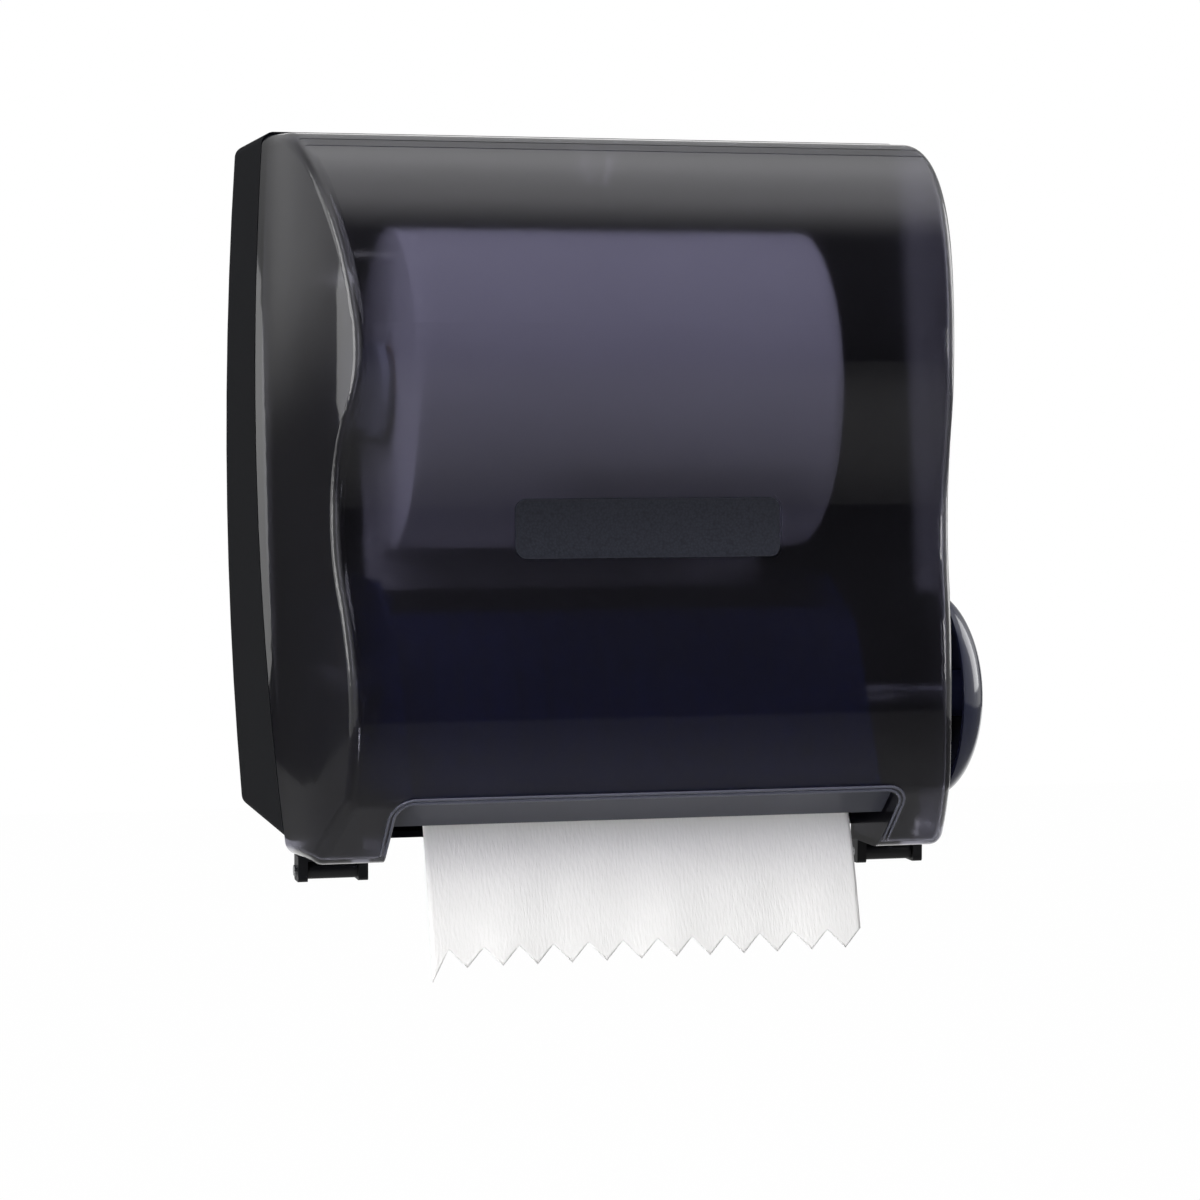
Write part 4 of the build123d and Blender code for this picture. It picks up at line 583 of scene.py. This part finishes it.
# Towel: the web from the back of the roll, under the guide bar, over the drum and out past the nose strip,
# hanging free to the edge that the toothed knife left.
BAR_MID = (-57.26 * MM, -84.92 * MM)
DRUM_MID = (-124.0 * MM, -105.0 * MM)
WEB_ON_ROLL, WEB_ON_BAR, WEB_ON_DRUM = 76.7 * MM, 5.7 * MM, 40.7 * MM
OFF_BAR, ON_DRUM, OFF_DRUM = (math.radians(d) for d in (-115.0, 65.0, 155.0))
DROP_L = 72.0 * MM
BEND_R = 300.0 * MM
BEND_TURN = math.radians(8.0)
TEAR_Z, TEAR_H, TEAR_RISE, TEAR_CORNER = -216.5 * MM, 8.5 * MM, 2.5 * MM, 5.5 * MM
TOOTH = 16.24 * MM
TOWEL_T = 0.4 * MM
ROW_L = 2.0 * MM
EDGE_L, FREE_L = 40.0 * MM, 115.0 * MM
EDGE_TAIL, TOOTH_COLUMNS = 21, 4
WAVE_L, RIPPLE_L = 83.0 * MM, 37.0 * MM
WAVE_H, RIPPLE_H = 0.9 * MM, 0.5 * MM
WAVE_SHIFT = 0.6


def towel_route():
    """The web's middle line in the Y-Z plane: straight runs joined by arcs round the bar, the drum
    and one slow bend, each sampled about every ROW_L."""
    def arc(mid, r, a, b):
        """Points on the circle of radius r about mid, from angle a to angle b."""
        turn = np.linspace(a, b, max(4, int(abs(b - a) * r / ROW_L)))
        return np.stack([mid[0] + r * np.cos(turn), mid[1] + r * np.sin(turn)], -1)

    start = arc(ROLL_MID, WEB_ON_ROLL, OFF_ROLL, OFF_ROLL)[:1]
    bar = arc(BAR_MID, WEB_ON_BAR, OFF_ROLL, OFF_BAR)
    drum = arc(DRUM_MID, WEB_ON_DRUM, ON_DRUM, OFF_DRUM)
    heading = OFF_DRUM + math.pi / 2
    drop_end = drum[-1] + DROP_L * np.array([math.cos(heading), math.sin(heading)])
    bend_mid = drop_end + BEND_R * np.array([-math.sin(heading), math.cos(heading)])
    bend = arc(bend_mid, BEND_R, heading - math.pi / 2, heading - math.pi / 2 + BEND_TURN)
    last = heading + BEND_TURN
    fall = (bend[-1][1] - TEAR_Z + TEAR_CORNER) / -math.sin(last)
    tip = bend[-1] + fall * np.array([math.cos(last), math.sin(last)])
    corners = [start, bar, drum, drop_end[None], bend[1:], tip[None]]
    line = np.concatenate(corners)
    gone = np.concatenate([[0], np.cumsum(np.linalg.norm(np.diff(line, axis=0), axis=1))])
    return line, gone


def towel_web():
    """Columns run across X, TOOTH_COLUMNS to each half tooth; rows run along the route. The last rows stretch
    to the torn edge, a zigzag between TEAR_Z and TEAR_Z + TEAR_H that climbs about TEAR_RISE to the right and
    hangs TEAR_CORNER lower at its left corner. The free end waves out of its plane by two sines of x,
    which grow with the square of the distance along it."""
    line, gone = towel_route()
    total = gone[-1]
    half_teeth = int(round(2 * TOWEL_HALF / (TOOTH / 2)))
    x = np.linspace(-TOWEL_HALF, TOWEL_HALF, TOOTH_COLUMNS * half_teeth + 1)
    step = np.arange(half_teeth + 1)
    edge = TEAR_Z + TEAR_RISE * step / (half_teeth + 2) + np.where(step % 2, TEAR_H, 0.0)
    edge[0] = TEAR_Z - TEAR_CORNER
    edge_z = np.interp(x, step * TOOTH / 2 - TOWEL_HALF, edge)
    slope = (line[-1] - line[-2]) / np.linalg.norm(line[-1] - line[-2])
    end = total - (edge_z - line[-1][1]) / -slope[1]
    fixed = total - EDGE_L
    rows = np.arange(0.0, fixed, ROW_L)
    tail = np.linspace(0.0, 1.0, EDGE_TAIL)
    along = np.concatenate([np.broadcast_to(rows[:, None], (len(rows), len(x))),
                            fixed + (end[None] - fixed) * tail[:, None]])
    y = np.interp(along, gone, line[:, 0])
    z = np.interp(along, gone, line[:, 1])
    free = np.clip((along - (total - FREE_L)) / FREE_L, 0.0, 1.0) ** 2
    ripple = RIPPLE_H * np.sin(2 * math.pi * x / RIPPLE_L)
    wave = free * (WAVE_H * np.sin(2 * math.pi * x / WAVE_L + WAVE_SHIFT) + ripple)
    points = np.stack([np.broadcast_to(x, y.shape), y + wave * slope[1], z - wave * slope[0]], -1)
    flat = np.stack([np.broadcast_to(x, y.shape), along], -1)
    return points, flat, end.mean(), total


web_points, web_flat, web_mean, web_long = towel_web()
web = grid_mesh("towel_web", web_points, uv=web_flat)
web.data.materials.append(paper)
skin = web.modifiers.new("thickness", "SOLIDIFY")
skin.thickness = TOWEL_T
skin.offset = 0.0
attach(web, "case")
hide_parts("towel_tail")
